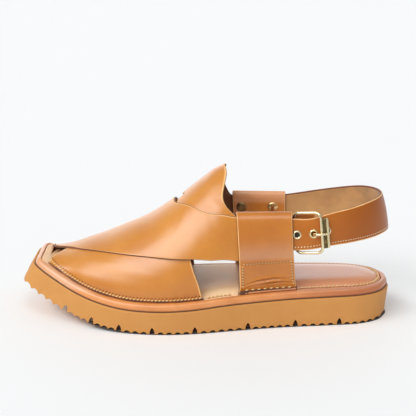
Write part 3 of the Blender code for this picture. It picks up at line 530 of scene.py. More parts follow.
def addNode(tree, kind, sockets=None, **settings):
    # One node with its settings. Each socket named is given a value, or a socket to link.
    node = tree.nodes.new(kind)
    for key, value in settings.items():
        setattr(node, key, value)
    for key, value in (sockets or {}).items():
        if isinstance(value, bpy.types.NodeSocket):
            tree.links.new(value, node.inputs[key])
        else:
            node.inputs[key].default_value = value
    return node


def noise(tree, place, size, detail, roughness=0.5):
    # Noise with features "size" millimetres across.
    sockets = {"Vector": place, "Scale": 1 / (size * mm), "Detail": detail, "Roughness": roughness}
    return addNode(tree, "ShaderNodeTexNoise", sockets).outputs["Fac"]


def ranged(tree, value, low, high, toLow=0.0, toHigh=1.0, kind="LINEAR"):
    # A value carried from one range to another.
    sockets = {"Value": value, "From Min": low, "From Max": high, "To Min": toLow, "To Max": toHigh}
    return addNode(tree, "ShaderNodeMapRange", sockets, interpolation_type=kind).outputs["Result"]


def placeOn(tree, place, axis):
    return addNode(tree, "ShaderNodeSeparateXYZ", {"Vector": place}).outputs[axis]


def mixed(tree, share, one, two):
    # The share of the second colour laid over the first.
    return addNode(tree, "ShaderNodeMix", {"Factor": share, 6: one, 7: two}, data_type="RGBA").outputs[2]


def bumped(tree, height, strength, depth, **under):
    # The normal of a relief "depth" millimetres deep.
    sockets = {"Height": height, "Strength": strength, "Distance": depth * mm, **under}
    return addNode(tree, "ShaderNodeBump", sockets).outputs["Normal"]


def linked(tree, shader, **sources):
    # Links into the shader's own sockets.
    for key, source in sources.items():
        tree.links.new(source, shader.inputs[key.replace("_", " ")])


def newMaterial(name, **sockets):
    # A Principled material with constant values set on the shader's own sockets.
    made = bpy.data.materials.new(name)
    made.use_nodes = True
    tree = made.node_tree
    shader = tree.nodes["Principled BSDF"]
    for key, value in sockets.items():
        shader.inputs[key.replace("_", " ")].default_value = value
    return made, tree, shader, addNode(tree, "ShaderNodeTexCoord").outputs["Object"]


def leather(name, look):
    # Vegetable-tanned cowhide, waxed and polished: smooth pores, slightly uneven dye, and a
    # soft wide gloss from the wax. Pore spacing is "poreMm", dye clouds are "cloudMm" across.
    made, tree, shader, place = newMaterial(
        name, Roughness=look["rough"], IOR=1.5, Specular_IOR_Level=look["gloss"], Coat_Weight=look["coat"],
        Coat_Roughness=look["coatRough"], Coat_IOR=look["coatIor"])
    clouds = noise(tree, place, look["cloudMm"], 3.0, 0.55)
    flecks = noise(tree, place, look["fleckMm"], 4.0, 0.65)
    ramp = addNode(tree, "ShaderNodeValToRGB", {"Fac": clouds})
    first, final = ramp.color_ramp.elements
    first.position, final.position = 0.32, 0.68
    first.color, final.color = linear(look["dark"]), linear(look["light"])
    ramp.color_ramp.elements.new(0.5).color = linear(look["base"])
    dyed = ramp.outputs["Color"]
    if "fade" in look:
        # The dye deepens from one place along the shoe to another.
        deep, low, high = look["fade"]
        share = ranged(tree, placeOn(tree, place, "X"), low * mm, high * mm, kind="SMOOTHSTEP")
        dyed = mixed(tree, share, dyed, linear(deep))
    if "polish" in look:
        # Handling polishes one end: the wax coat grows along the shoe.
        low, high, least, most = look["polish"]
        coat = ranged(tree, placeOn(tree, place, "X"), low * mm, high * mm, least, most)
        linked(tree, shader, Coat_Weight=coat)
    if "paintedBand" in look:
        # Painted light: a band of another tone, lighter for a painted highlight or reflection, darker for
        # painted shade, that rises over a few millimetres and fades toward a height.
        pale, low, high, most = look["paintedBand"]
        up, full = placeOn(tree, place, "Z"), low + look["paintedBandRise"]
        rise = ranged(tree, up, low * mm, full * mm, 0.0, most, "SMOOTHSTEP")
        fall = ranged(tree, up, full * mm, high * mm, rise, 0.0, "SMOOTHSTEP")
        dyed = mixed(tree, fall, dyed, linear(pale))
    tone = ranged(tree, flecks, 0.3, 0.7, 1 - look["fleck"], 1 + look["fleck"])
    colour = addNode(tree, "ShaderNodeVectorMath", {0: dyed, 1: tone}, operation="MULTIPLY")
    wax = ranged(tree, flecks, 0.3, 0.7, look["rough"] - 0.05, look["rough"] + 0.06)
    pores = addNode(tree, "ShaderNodeTexVoronoi", {"Vector": place, "Scale": 1 / (look["poreMm"] * mm)},
                    feature="SMOOTH_F1").outputs["Distance"]
    fine = bumped(tree, pores, look["pore"], 0.12)
    soft = bumped(tree, noise(tree, place, look["waveMm"], 2.0), look["wave"], 1.0, Normal=fine)
    linked(tree, shader, Base_Color=colour.outputs["Vector"], Roughness=wax, Normal=soft)
    return made


def suede(name, dark, light, smudges=None):
    # The flesh side of the hide: short nap, no gloss, cloudy from handling.
    made, tree, shader, place = newMaterial(name, Roughness=0.92, Sheen_Weight=0.25, Sheen_Roughness=0.6)
    shade = mixed(tree, noise(tree, place, 9, 5.0), linear(dark), linear(light))
    if smudges:
        # It greys in smudges that thicken toward the heel.
        grey, low, high, most = smudges
        share = ranged(tree, placeOn(tree, place, "X"), low * mm, high * mm, 0.0, most)
        spots = ranged(tree, noise(tree, place, 16, 3.0), 0.32, 0.62, 0.0, share)
        shade = mixed(tree, spots, shade, linear(grey))
    nap = bumped(tree, noise(tree, place, 0.5, 3.0), 0.4, 0.2)
    linked(tree, shader, Base_Color=shade, Normal=nap)
    return made


# A fade is its tone, then from and to along the shoe; a polish is from and to, least and most coat; a
# painted band, of painted light or shade, is its tone, from and to in height, and its share.
upperLook = {"base": "#CF8119", "light": "#D58922", "dark": "#C77815", "rough": 0.36, "gloss": 0.35,
             "cloudMm": 42, "fleckMm": 3.2, "fleck": 0.03, "poreMm": 0.55, "pore": 0.06, "waveMm": 18,
             "wave": 0.08, "coat": 0.95, "coatRough": 0.35, "coatIor": 1.6, "paintedBandRise": 4}
# The loops are the upper's hide given a darker base: painted shade on their upright faces.
shadedLoopLook = dict(upperLook, base="#C37318", light="#C97A20", dark="#B96912", coat=0.75, coatRough=0.28)
# A pale band across the outer loop's lower part is a painted reflection of the floor.
outerLoopLook = dict(shadedLoopLook, paintedBand=("#D0A488", 55.5, 75, 0.32))
strapLook = dict(upperLook, base="#C0701E", light="#C77824", dark="#B66718", cloudMm=30, coat=0.2,
                 gloss=0.3, fade=("#A4560E", 55, 125))
# The inner loop is the loops' hide made lighter against the shade it stands in, with a pale band at its
# top: painted light and a painted highlight.
litInnerLoopLook = dict(shadedLoopLook, base="#D48636", light="#DC9040", dark="#CA7C2E", cloudMm=24,
                     paintedBand=("#F0B48E", 80.5, 120, 0.5))
# The rim's pale band where it rises toward the toe is a painted highlight.
rimLook = dict(upperLook, base="#E0904C", light="#E89B58", dark="#D58542", rough=0.42, cloudMm=20,
               pore=0.05, coat=0.8, fade=("#BC6830", 30, 125), paintedBand=("#F8D8C0", 27.5, 66, 0.3))
padLook = dict(upperLook, base="#FFD09E", light="#FFD8AA", dark="#F8C490", rough=0.4, cloudMm=30,
               coat=0.3, polish=(20, 60, 0.15, 1.0), coatRough=0.3, poreMm=0.9, pore=0.0, waveMm=26,
               wave=0.1, fade=("#DE9468", 30, 62))
edgeLook = dict(upperLook, base="#F0BC7C", light="#F6C88C", dark="#E6AC68", rough=0.6, coat=0.0, cloudMm=8)

# The tan hide darkens in a band just above the seat that fades out upward: painted shade.
tanLeather = leather("tan waxed cowhide", dict(upperLook, paintedBand=("#B2600A", 18, 52, 0.45)))
loopLeather = leather("tan waxed cowhide, loops, painted shade and reflection", outerLoopLook)
strapLeather = leather("saddle brown cowhide", strapLook)
litInnerLoopLeather = leather("inner loop cowhide, lightened as painted light", litInnerLoopLook)
rimLeather = leather("rim cowhide", rimLook)
padLeather = leather("soft footbed calf", padLook)
cutEdge = leather("burnished cut edge", edgeLook)
darkSuede = suede("brown flesh side", "#6A4225", "#8A5A36")
paleSuede = suede("natural flesh side", "#C9935A", "#E0B074", smudges=("#7C5F44", 88, 135, 0.6))


def moulded(name, dark, light):
    # Honey crepe-finished EVA rubber from a mould: matte, finely pebbled, slightly streaky.
    made, tree, shader, place = newMaterial(name, Roughness=0.62, IOR=1.5)
    streaks = mixed(tree, noise(tree, place, 14, 6.0, 0.6), linear(dark), linear(light))
    linked(tree, shader, Base_Color=streaks, Normal=bumped(tree, noise(tree, place, 0.8, 3.0), 0.35, 0.25))
    return made


def plated(name, colour, rough, dents):
    # Thin pale-gold plating on cast brass, tumbled smooth: fine handling marks in the gloss.
    made, tree, shader, place = newMaterial(name, Metallic=1.0, Base_Color=linear(colour))
    marks = noise(tree, place, 1.2, 4.0)
    gloss = ranged(tree, marks, 0.3, 0.7, rough - 0.05, rough + 0.08)
    linked(tree, shader, Roughness=gloss, Normal=bumped(tree, marks, dents, 0.15))
    return made


def waxedThread(name, colour):
    # Three-ply waxed cotton, nearly matte; the ply shows as fine slanting ridges.
    made, tree, shader, place = newMaterial(name, Roughness=0.7, Sheen_Weight=0.2,
                                            Base_Color=linear(colour))
    ply = addNode(tree, "ShaderNodeTexWave", {"Vector": place, "Scale": 1 / (0.9 * mm)},
                  bands_direction="DIAGONAL").outputs["Fac"]
    linked(tree, shader, Normal=bumped(tree, ply, 0.3, 0.1))
    return made


def chased(name, dark, light):
    # Cast bronze left dull, chased with a fine upright hatch that holds the dark patina.
    made, tree, shader, place = newMaterial(name, Metallic=0.85, Roughness=0.5)
    stretch = addNode(tree, "ShaderNodeMapping", {"Vector": place, "Scale": (1.0, 1.0, 0.35)})
    hatch = addNode(tree, "ShaderNodeTexVoronoi", {"Vector": stretch.outputs["Vector"],
                                                   "Scale": 1 / (0.9 * mm)}).outputs["Distance"]
    ramp = addNode(tree, "ShaderNodeValToRGB", {"Fac": hatch})
    first, final = ramp.color_ramp.elements
    first.color, final.color = linear(dark), linear(light)
    linked(tree, shader, Base_Color=ramp.outputs["Color"], Normal=bumped(tree, hatch, 0.7, 0.2))
    return made


honeyRubber = moulded("honey rubber", "#C88840", "#D4964F")
brass = plated("pale gold plate", "#EFE0B6", 0.2, 0.1)
satinBrass = plated("satin brass", "#E8C892", 0.27, 0.3)
agedBrass = plated("aged brass", "#9C845A", 0.42, 0.5)
creamThread = waxedThread("cream thread", "#EBCB8C")
paleThread = waxedThread("pale thread", "#EFDDB4")
# Pricked holes are dark marks: painted shade.
holeShade = suede("painted shade of pricked holes", "#5E3414", "#7A4519")
# Seam shade: painted shade in the slots beside the rim and at the outer loop's foot.
seamShade = suede("painted seam shade", "#5A3322", "#7C4A33")
# The cut edge's core: burnished, and darkened further as painted shade under the edge.
edgeCoreShade = suede("burnished edge core and painted shade", "#6B3817", "#824820")
# Black painted shadow in the tread's ripples and at the bottom of the front eyelet's hole.
blackShade = suede("painted black shade", "#1E1610", "#2E231A")
# Painted shade along the joint between leather and rubber.
jointShade = suede("painted joint shade", "#54331C", "#6B4426")
chasedBronze = chased("chased bronze", "#2C2517", "#8A784E")


def hide(face, flesh):
    # A sheet's four looks: face, flesh side, cut edge and its core, burnished and darkened as painted
    # shade.
    return [face, flesh, cutEdge, edgeCoreShade]


print("materials made")


# The sole: rubber, rim and footbed.
rubber = {"steps": 12, "lean": 1.1, "notches": (-114.7, -92.8, -70.2, -43.7, -10.3, 31.5, 69.4, 104.8),
          "ripplesBetween": (3, 3, 3, 4, 5, 5, 4), "toeRipples": (6.4, 5), "heelRipples": (6.3, 6),
          "rippleHalf": 2.5, "rippleDepth": 2.2, "notchHalf": 2.1, "notchDepth": 5.9, "cutterHalf": 90,
          # each ring of the wall: inset, share of the standing in, height, share of the thickness
          "rings": ((0.7, 1, 0, 0), (0.25, 1, 0.35, 0), (0, 1, 0.9, 0), (0, 0.66, 0, 0.33),
                    (0, 0.33, 0, 0.66), (0.1, 0, -1.2, 1), (0.18, 0, -0.5, 1), (0.5, 0, 0, 1)),
          # the wall stands in by 0.4, by the lean behind the toe and by 1 more at the heel
          "standIn": 0.4, "toeBlend": (-149, -125), "heelBlend": (120, 147),
          # the painted shadow band: inset and height of its four corners; it reaches from an x at the toe
          # to some points of the outline past the heel
          "shadeBand": ((1.3, 0.03), (6.5, 0.03), (6.5, 0.25), (1.3, 0.25)), "shadeFore": -96, "shadePastHeel": 40}


def makeOutsole():
    # Rings up the wall: the tread's edge, a wall that leans out, and a rounded top.
    base = outline(0, rubber["steps"])[:, 0]
    thick = rubberThick(base)
    lower = (rubber["standIn"] + rubber["lean"] * blend(base, *rubber["toeBlend"])
             + blend(base, *rubber["heelBlend"]))
    layers = []
    for inset, share, height, level in rubber["rings"]:
        ring = outline(inset + lower * share, rubber["steps"])
        layers.append(solePoint(ring[:, 0], ring[:, 1], thick * level + height))
    piece = addPiece("outsoleRubber", *ringBody(layers), [honeyRubber], smoothAngle=38, slot="honey_rubber",
                     replaces=["outsole"])
    # Ripples are elliptical arches across the tread, spaced evenly between tall notches.
    arch = np.linspace(0, math.pi, 9)
    small = np.column_stack((-np.cos(arch) * rubber["rippleHalf"], np.sin(arch) * rubber["rippleDepth"]))
    tall = np.column_stack((-np.cos(arch) * rubber["notchHalf"] * (0.62 + 0.38 * np.cos(arch) ** 2),
                            np.sin(arch) ** 0.8 * rubber["notchDepth"]))
    notches = rubber["notches"]
    places = []
    for start, way, (pitch, count) in ((notches[0], -1, rubber["toeRipples"]),
                                       (notches[-1], 1, rubber["heelRipples"])):
        places += [(start + way * pitch * k, small) for k in range(1, count + 1)]
    places += [(place, tall) for place in notches]
    for first, final, count in zip(notches, notches[1:], rubber["ripplesBetween"]):
        places += [(first + (final - first) * k / (count + 1), small) for k in range(1, count + 1)]
    parts = []
    for place, shape in places:
        shape = np.vstack((shape[:1] - (0, 1), shape, shape[-1:] - (0, 1)))
        parts.append(lofted([solePoint(place + shape[:, 0], y, shape[:, 1])
                             for y in (-rubber["cutterHalf"], rubber["cutterHalf"])]))
    cutBy(piece, *joined(parts))


def makeTreadShadow():
    # A black band just inside the tread's edge is painted shadow, so the ripples read as dark arches.
    x = outline(rubber["shadeBand"][0][0], rubber["steps"])[:, 0]
    keep = np.arange(len(x))
    keep = keep[(keep <= x.argmax() + rubber["shadePastHeel"]) & (x > rubber["shadeFore"])]
    rows = []
    for inset, height in rubber["shadeBand"]:
        edge = outline(inset, rubber["steps"])[keep]
        rows.append(solePoint(edge[:, 0], edge[:, 1], height))
    addPiece("treadShadow", *lofted(np.stack(rows, 1), fan=False), [blackShade])


makeOutsole()
makeTreadShadow()
print("outsole")

# The profile's rows are inset and height; the joint is the dark bead's inset, height and radius.
rim = {"steps": 14, "joint": (1.55, 0.42, 0.42), "jointSteps": 8,
       "profile": ((3.0, 0.3), (2.2, 0.45), (1.6, 0.95), (1.3, 1.8), (1.22, 2.8), (1.3, 3.8), (1.6, 4.8),
                   (2.2, 5.6), (3.0, 6.05), (4.0, 6.25), (5.0, 6.3), (6.0, 6.2), (6.7, 5.95), (7.1, 5.5),
                   (7.2, 4.6), (7.2, 3.0)),
       # the roll is narrower by this much at the toe end, and by a share of it round the heel
       "narrow": 3.0, "toeBlend": (143.5, 147), "heelBlend": (95, 130), "heelShare": 0.45,
       "narrowKnots": (2.2, 7, 12, 22)}


def narrowed(inset, steps):
    # The roll is narrower across the toe end, and a little round the heel; the pad follows it.
    x = outline(3.0, steps)[:, 0]
    share = blend(-x, *rim["toeBlend"]) + rim["heelShare"] * blend(x, *rim["heelBlend"])
    return inset - rim["narrow"] * share * np.interp(inset, rim["narrowKnots"], (0, 1, 1, 0))


def soleRing(inset, height, steps):
    ring = outline(narrowed(inset, steps), steps)
    return solePoint(ring[:, 0], ring[:, 1], rubberThick(ring[:, 0]) + height)


def makeRim():
    # Leather rolled over the board's edge: tucked in at the rubber, a bulging side, a round
    # shoulder and the wall that panels and loops go down beside.
    layers = [soleRing(inset, height, rim["steps"]) for inset, height in rim["profile"]]
    addPiece("rimLeather", *ringBody(layers), [rimLeather], slot="rim_leather", replaces=["midsole"])
    # A dark bead along the joint between leather and rubber is painted shade.
    inset, height, radius = rim["joint"]
    bead = tube(soleRing(inset, height, rim["jointSteps"]), radius, 6, closed=True)
    addPiece("jointShadeLine", *bead, [jointShade])


makeRim()

pad = {"steps": 12, "edge": 7.5,
       # inset beyond the edge, height at full thickness, height at the toe
       "rows": ((0, 3.3, 3.3), (0, 4.7, 5.5), (0.35, 5.35, 6.0), (1.0, 5.75, 6.2), (1.8, 5.6, 6.15),
                (2.6, 5.75, 6.2), (3.1, 6.3, 6.25), (3.8, 7.1, 6.3), (4.9, 7.9, 6.35), (6.5, 8.65, 6.4),
                (8.7, 9.25, 6.45), (11.5, 9.65, 6.45), (15, 9.85, 6.45), (19, 9.9, 6.45)),
       "thins": (-125, -70), "stitchThins": (-100, -60), "stitchDrop": 0.1, "stitchSwell": 0.35,
       # each slot: side, from and to along the shoe, width of what stands in it
       "slots": ((-1, -140.7, -3.2, 2.0), (1, -141.8, -11.2, 2.0), (-1, 23.9, 70.9, 4.0),
                 (1, 22.7, 70.1, 4.0)),
       "slotFloor": 1.0, "slotTop": 14.0,
       # where the groove is bare: in front of the first, between the next two and behind the last
       "bareOuter": (-141, -2, 21, 72.5), "bareInner": (-141, -9.5, 20, 71.5),
       "stitchInset": 9.3, "stitchHeight": 5.9, "stitchPitch": 3.2, "stitchLength": 2.8,
       "stitchRadius": 0.72}


def slotCutter(side, fromX, toX, width):
    # A closed band along one side, wide enough for what stands in the slot.
    x = np.linspace(fromX, toX, 30)
    low, high = pad["slotFloor"], pad["slotTop"]
    near, far = sole["slotInset"] - 1, sole["slotInset"] + width + 3 * sole["gap"]
    rows = [solePoint(x, sideY(x, edge, side), rubberThick(x) + height)
            for edge, height in ((near, low), (far, low), (far, high), (near, high))]
    return lofted(np.stack(rows, 1), fan=False)


def makePad():
    # Foam under soft leather: sewn flange, groove, then a crowned cushion that thins to the toe.
    layers = []
    for inset, full, thin in pad["rows"]:
        ring = outline(narrowed(pad["edge"] + inset, pad["steps"]), pad["steps"])
        height = thin + (full - thin) * blend(ring[:, 0], *pad["thins"])
        layers.append(solePoint(ring[:, 0], ring[:, 1], rubberThick(ring[:, 0]) + height))
    piece = addPiece("footbedPad", *ringBody(layers), [padLeather], slot="footbed_leather",
                     replaces=["insole"])
    for slot in pad["slots"]:
        cutBy(piece, *slotCutter(*slot))
    # Stitches in the groove wherever no panel or loop stands in it.
    ring = soleRing(pad["stitchInset"], pad["stitchHeight"], pad["steps"])
    ring[:, 2] += pad["stitchSwell"] * blend(ring[:, 0], *pad["stitchThins"]) - pad["stitchDrop"]
    x = ring[:, 0]

    def isBare(first, second, third, fourth):
        return (x < first) | ((x > second) & (x < third)) | (x > fourth)
    bare = np.where(np.arange(len(x)) <= x.argmax(), isBare(*pad["bareOuter"]), isBare(*pad["bareInner"]))
    start = np.flatnonzero(~bare)[0]
    ring, bare = np.roll(ring, -start, 0), np.roll(bare, -start)
    cuts = np.flatnonzero(np.diff(bare.astype(int))) + 1
    runs = [run for run, on in zip(np.split(ring, cuts), np.split(bare, cuts)) if on[0] and len(run) > 3]
    rows = [stitchRow(run, np.array((0, 0, 1.0)), pad["stitchPitch"], pad["stitchLength"],
                      pad["stitchRadius"], slant=0.25) for run in runs]
    addPiece("footbedStitches", *joined(rows), [creamThread])


makePad()
print("rim and footbed")


# The upper: two crossed panels and the tongue between them.
def panelGrids(table, across, lift):
    # Coarse front and back of a panel between its two edges; its foot stands in the slot.
    steps = np.arange(2 * (len(table["foreX"]) - 1) + 1) / 2
    fore = curveAt(np.column_stack((table["foreX"], table["foreGirth"])), steps)
    aft = curveAt(np.column_stack((table["aftX"], table["aftGirth"])), steps)
    t = np.linspace(0, 1, across + 1)[None, :, None] ** 1.15
    place = fore[:, None] * (1 - t) + aft[:, None] * t
    x, girth = place[..., 0], np.clip(place[..., 1], -1, 1)
    inside = lift(x, girth)
    sheets = [lastPoint(x, girth, inside + sole["leather"]), lastPoint(x, girth, inside)]
    if abs(girth[0, 0]) == 1:
        side, thick = girth[0, 0], rubberThick(x[0])
        for k, inset in enumerate((panelInset - sole["leather"], panelInset)):
            rows = [solePoint(x[0], sideY(x[0], inset, side), thick + height)
                    for height in (seatHeight, sole["rimHeight"] + sole["gap"])]
            sheets[k] = np.concatenate((rows, sheets[k][1:]))
    return sheets


# "crossing" is where along the shoe the over-panel rises onto the tongue, "ramp" the girth from
# its foot over which it rises onto the outer panel. The crease is place and height over the seam.
panel = {"tongueLift": 1.35, "overLift": 1.3, "overTongue": 1.45, "crossing": (-52, -27), "ramp": 0.16,
         "round": 1.0, "overRound": 1.3, "bead": 0.42, "beadTrim": 6, "lipSink": 0.25, "shadeSink": 0.55,
         "footLip": 6.55, "seamHeight": 7.9, "stitchPitch": 2.9, "stitchLength": 2.4,
         "stitchRadius": 0.54, "needleRise": 1.5, "needleLength": 1.1, "needleRadius": 0.42,
         "puckerPitch": 7.5, "puckersGrow": (-70, -30), "puckerHeight": 0.5, "seamDepth": 0.35,
         "crease": ((-45, 4.2), (-30, 3.0), (-14, 4.6), (-6, 4.0)), "creaseHeight": 0.45,
         "puckersEnd": 20}


def overLift(x, girth):
    rise = panel["overLift"] + panel["overTongue"] * blend(x, *panel["crossing"])
    return rise * blend(1 - girth, 0.0, panel["ramp"])


outerFront, outerBack = panelGrids(outerPanel, 11, lambda x, g: np.zeros_like(x))
tongueFront, tongueBack = panelGrids(tonguePanel, 5, lambda x, g: np.full_like(x, panel["tongueLift"]))
innerFront, innerBack = panelGrids(innerPanel, 11, overLift)
looks = hide(tanLeather, darkSuede)


def outerPuckers(points):
    # Leather drawn in at the seat seam: a groove along it, and puckers that grow to the rear.
    place, height = soleHeight(points)
    above = height - panel["seamHeight"]
    rear = 0.15 + 0.85 * blend(place, *panel["puckersGrow"])
    pucker = np.sin(place * 2 * math.pi / panel["puckerPitch"] + 0.8 * np.sin(place / 9)) * rear
    crease = ridgeAlong(place, above, panel["crease"], 1.8)
    relief = (-panel["seamDepth"] * bump(above, 1.6)
              + panel["puckerHeight"] * pucker * bump(above - 3.2, 3.4) + panel["creaseHeight"] * crease)
    return relief * (height < panel["puckersEnd"])


sheet("panelOuter", outerFront, outerBack, looks, roundness=panel["round"], shape=outerPuckers,
      core=(0.45, 0.12), slot="tan_leather", replaces=["upper"])
sheet("tongue", tongueFront, tongueBack, looks, roundness=panel["round"], slot="tan_leather",
      replaces=["upper"])
sheet("panelInner", innerFront, innerBack, looks, roundness=panel["overRound"], core=(0.8, 0.4),
      slot="tan_leather", replaces=["upper"])


def panelSeam(name):
    # A slanting lockstitch just above the rim, a row of dark marks over it that paint the shade of pricked
    # needle holes, and a dark lip of painted shade where the panel goes down beside the rim.
    def lineAt(height):
        return [part[3:-3] for part in surfaceLine(name, height)]
    pitch, seam = panel["stitchPitch"], panel["seamHeight"]
    rows = stitchRow(*lineAt(seam), pitch, panel["stitchLength"], panel["stitchRadius"], lift=-0.1,
                     slant=0.45)
    low, out = lineAt(panel["footLip"])
    wave = 0.62 + 0.18 * np.sin(soleHeight(low)[0] * 2 * math.pi / pitch)
    dots = stitchRow(*lineAt(seam + panel["needleRise"]), pitch, panel["needleLength"],
                     panel["needleRadius"], lift=-0.2)
    return rows, dots, tube(low - out * 0.15, wave, 8)


def overBead():
    # The over-panel's upper edge: a pale rounded lip on the leather, and above it a dark line of burnished
    # edge and painted shade.
    front, trim = surfaces["panelInner"], panel["beadTrim"]
    inner = slice(trim, -trim)
    lip, top = front[inner, -5], front[inner, -1]
    out = normals(front)[inner, -5]
    out *= np.sign((out * (lip - front.mean((0, 1)))).sum(-1).mean())
    addPiece("overLip", *tube(lip - out * panel["lipSink"], panel["bead"], 8), [cutEdge])
    addPiece("overShade", *tube(top - out * panel["shadeSink"], panel["bead"], 8), [edgeCoreShade])


overBead()
seams = [panelSeam("panelOuter"), panelSeam("panelInner")]
# Panel lips are painted seam shade; needle marks are painted shade of pricked holes.
for part, name, look in ((2, "panelSeamShade", seamShade), (0, "panelStitches", creamThread),
                         (1, "needleHoleShade", holeShade)):
    addPiece(name, *joined([seam[part] for seam in seams]), [look])
print("upper")


# The side loops.
def loopGrids(side, skin, lining, floor, top, front, rear, stations=9):
    # A band from the outer foot over the top to the inner foot. Each row of the path holds the
    # outer face's offset and height, then the pocket face's.
    join = (skin + lining) / 2
    path = [(2, 0, 0.02, 0), (2, 28.9, 0.02, 28.9), (4, 35, 1.0, 35),
            (0.55 * skin + 1.5, floor - 7, 1.8, floor - 7), (skin - 0.95, floor - 0.5, join, floor - 0.5),
            (skin - 0.4, floor + 3, skin - 2.6, floor + 3)]
    path += [(skin, z, skin - 2, z) for z in (floor + 8, 66, 74, 80)]
    # Over the top the faces follow a soft fold: share of the half width, and depth below the top.
    half = (skin - lining) / 2
    fold = ((1, 8, 1, 8), (0.923, 4.94, 0.93, 5.4), (0.705, 2.34, 0.74, 3.6), (0.387, 0.6, 0.42, 2.3),
            (0, 0, 0, 1.8))
    over = [(join + a * half, top - b, join + c * (half - 2), top - d) for a, b, c, d in fold]
    path += over + [(2 * join - a, b, 2 * join - c, d) for a, b, c, d in over[-2::-1]]
    path += [(lining, z, lining + 2, z) for z in (80, 74, 66, floor + 8)]
    path += [(lining + 0.5, floor + 3, lining + 2.6, floor + 3),
             (lining + 1.1, floor - 0.5, join - 0.03, floor - 0.5), (-2, floor - 7, 1.75, floor - 7),
             (-2, 35, 0.97, 35), (-2, 28.9, -0.02, 28.9), (-2, 0, -0.02, 0)]
    path = np.array(path)
    share = np.linspace(0, 1, stations)
    grids = []
    for offset, height in ((path[:, 0], path[:, 1]), (path[:, 2], path[:, 3])):
        low = np.clip((loops["rise"] - height) / (loops["rise"] - 28), 0, 1)[None]
        first, final = front + 3.0 * low, rear + 4.6 * low ** 1.9
        x = first + (final - first) * share[:, None]
        foot = rubberThick(x) + seatHeight
        z = np.where(height[None] <= 0, foot, height[None])
        off = np.broadcast_to(offset[None], x.shape)
        points = lastPoint(x, girthAt(x, z, side), off)
        seated = np.broadcast_to(height[None] < 30, x.shape)
        points[seated] = np.stack((x, sideY(x, panelInset, side) + side * off, z), -1)[seated]
        grids.append(points.swapaxes(0, 1))
    return grids


# Outer and inner loop: offsets of the outward face and of the face toward the foot, heights of
# the pocket's floor and of the top, x of the front and rear edge. Lines are (x, z) points.
loops = {"rise": 92.0,
         "outer": (7.4, -4.35, 50, 92.0, 21.5, 65.4), "inner": (5.7, -2.3, 46, 91.3, 20.3, 64.6),
         "outerSeam": ((23, 53.7), (68, 55.3)), "innerSeam": ((22, 50), (68, 52)),
         "outerFoot": ((24, 32.0), (70, 33.2)), "innerFoot": ((22, 32), (70, 34)),
         "outerMargins": (2.5, 2.2), "innerMargins": (3.0, 3.0),
         # each crease: its line, half width and height
         "creases": ((((25, 33.9), (35.6, 37.0), (46, 38.7), (58, 39.3), (67, 38.3)), 1.5, 1.5),
                     (((30, 37.8), (40, 41.0), (52, 42.7), (66, 42.0)), 1.5, 1.0),
                     (((42, 35.0), (52, 36.3), (60, 36.6), (68, 35.7)), 1.3, 1.2),
                     (((27, 36.2), (38, 39.3), (50, 40.9), (64, 40.4)), 1.2, -0.8),
                     (((33, 35.0), (46, 36.9), (58, 37.9), (67, 37.0)), 1.1, -0.7)),
         "creased": (29, 62), "seamDepth": 0.4, "seamWidth": 1.5, "sag": 0.5, "sagHeight": 45,
         "sagWidth": 9, "finePitch": 2.4, "sidePitch": 2.5, "footPitch": 5.0}
outerLoopFront, outerLoopBack = loopGrids(-1, *loops["outer"])
innerLoopFront, innerLoopBack = loopGrids(1, *loops["inner"])


def loopCreases(points):
    # Creases pressed into the outer foot where it turns into the sole, and the drawn-in seams.
    x, y, z = points[..., 0], points[..., 1], points[..., 2]
    outside = y < sideY(x, panelInset, -1) + 1
    lines = sum(size * ridgeAlong(x, z, line, width) for line, width, size in loops["creases"])
    seam = bump(z - np.interp(x, *zip(*loops["outerSeam"])), loops["seamWidth"])
    sag = loops["sag"] * bump(z - loops["sagHeight"], loops["sagWidth"])
    low, high = loops["creased"]
    return np.where(outside & (z > low) & (z < high), lines - loops["seamDepth"] * seam - sag, 0)


sheet("loopOuter", outerLoopFront, outerLoopBack, hide(loopLeather, paleSuede), rowStep=0.6, columnStep=1.3,
      shape=loopCreases, core=(0.12, 0.4), slot="tan_leather", replaces=["loop_lateral"])
sheet("loopInner", innerLoopFront, innerLoopBack, hide(litInnerLoopLeather, paleSuede), rowStep=1.3,
      slot="tan_leather", replaces=["loop_medial"])


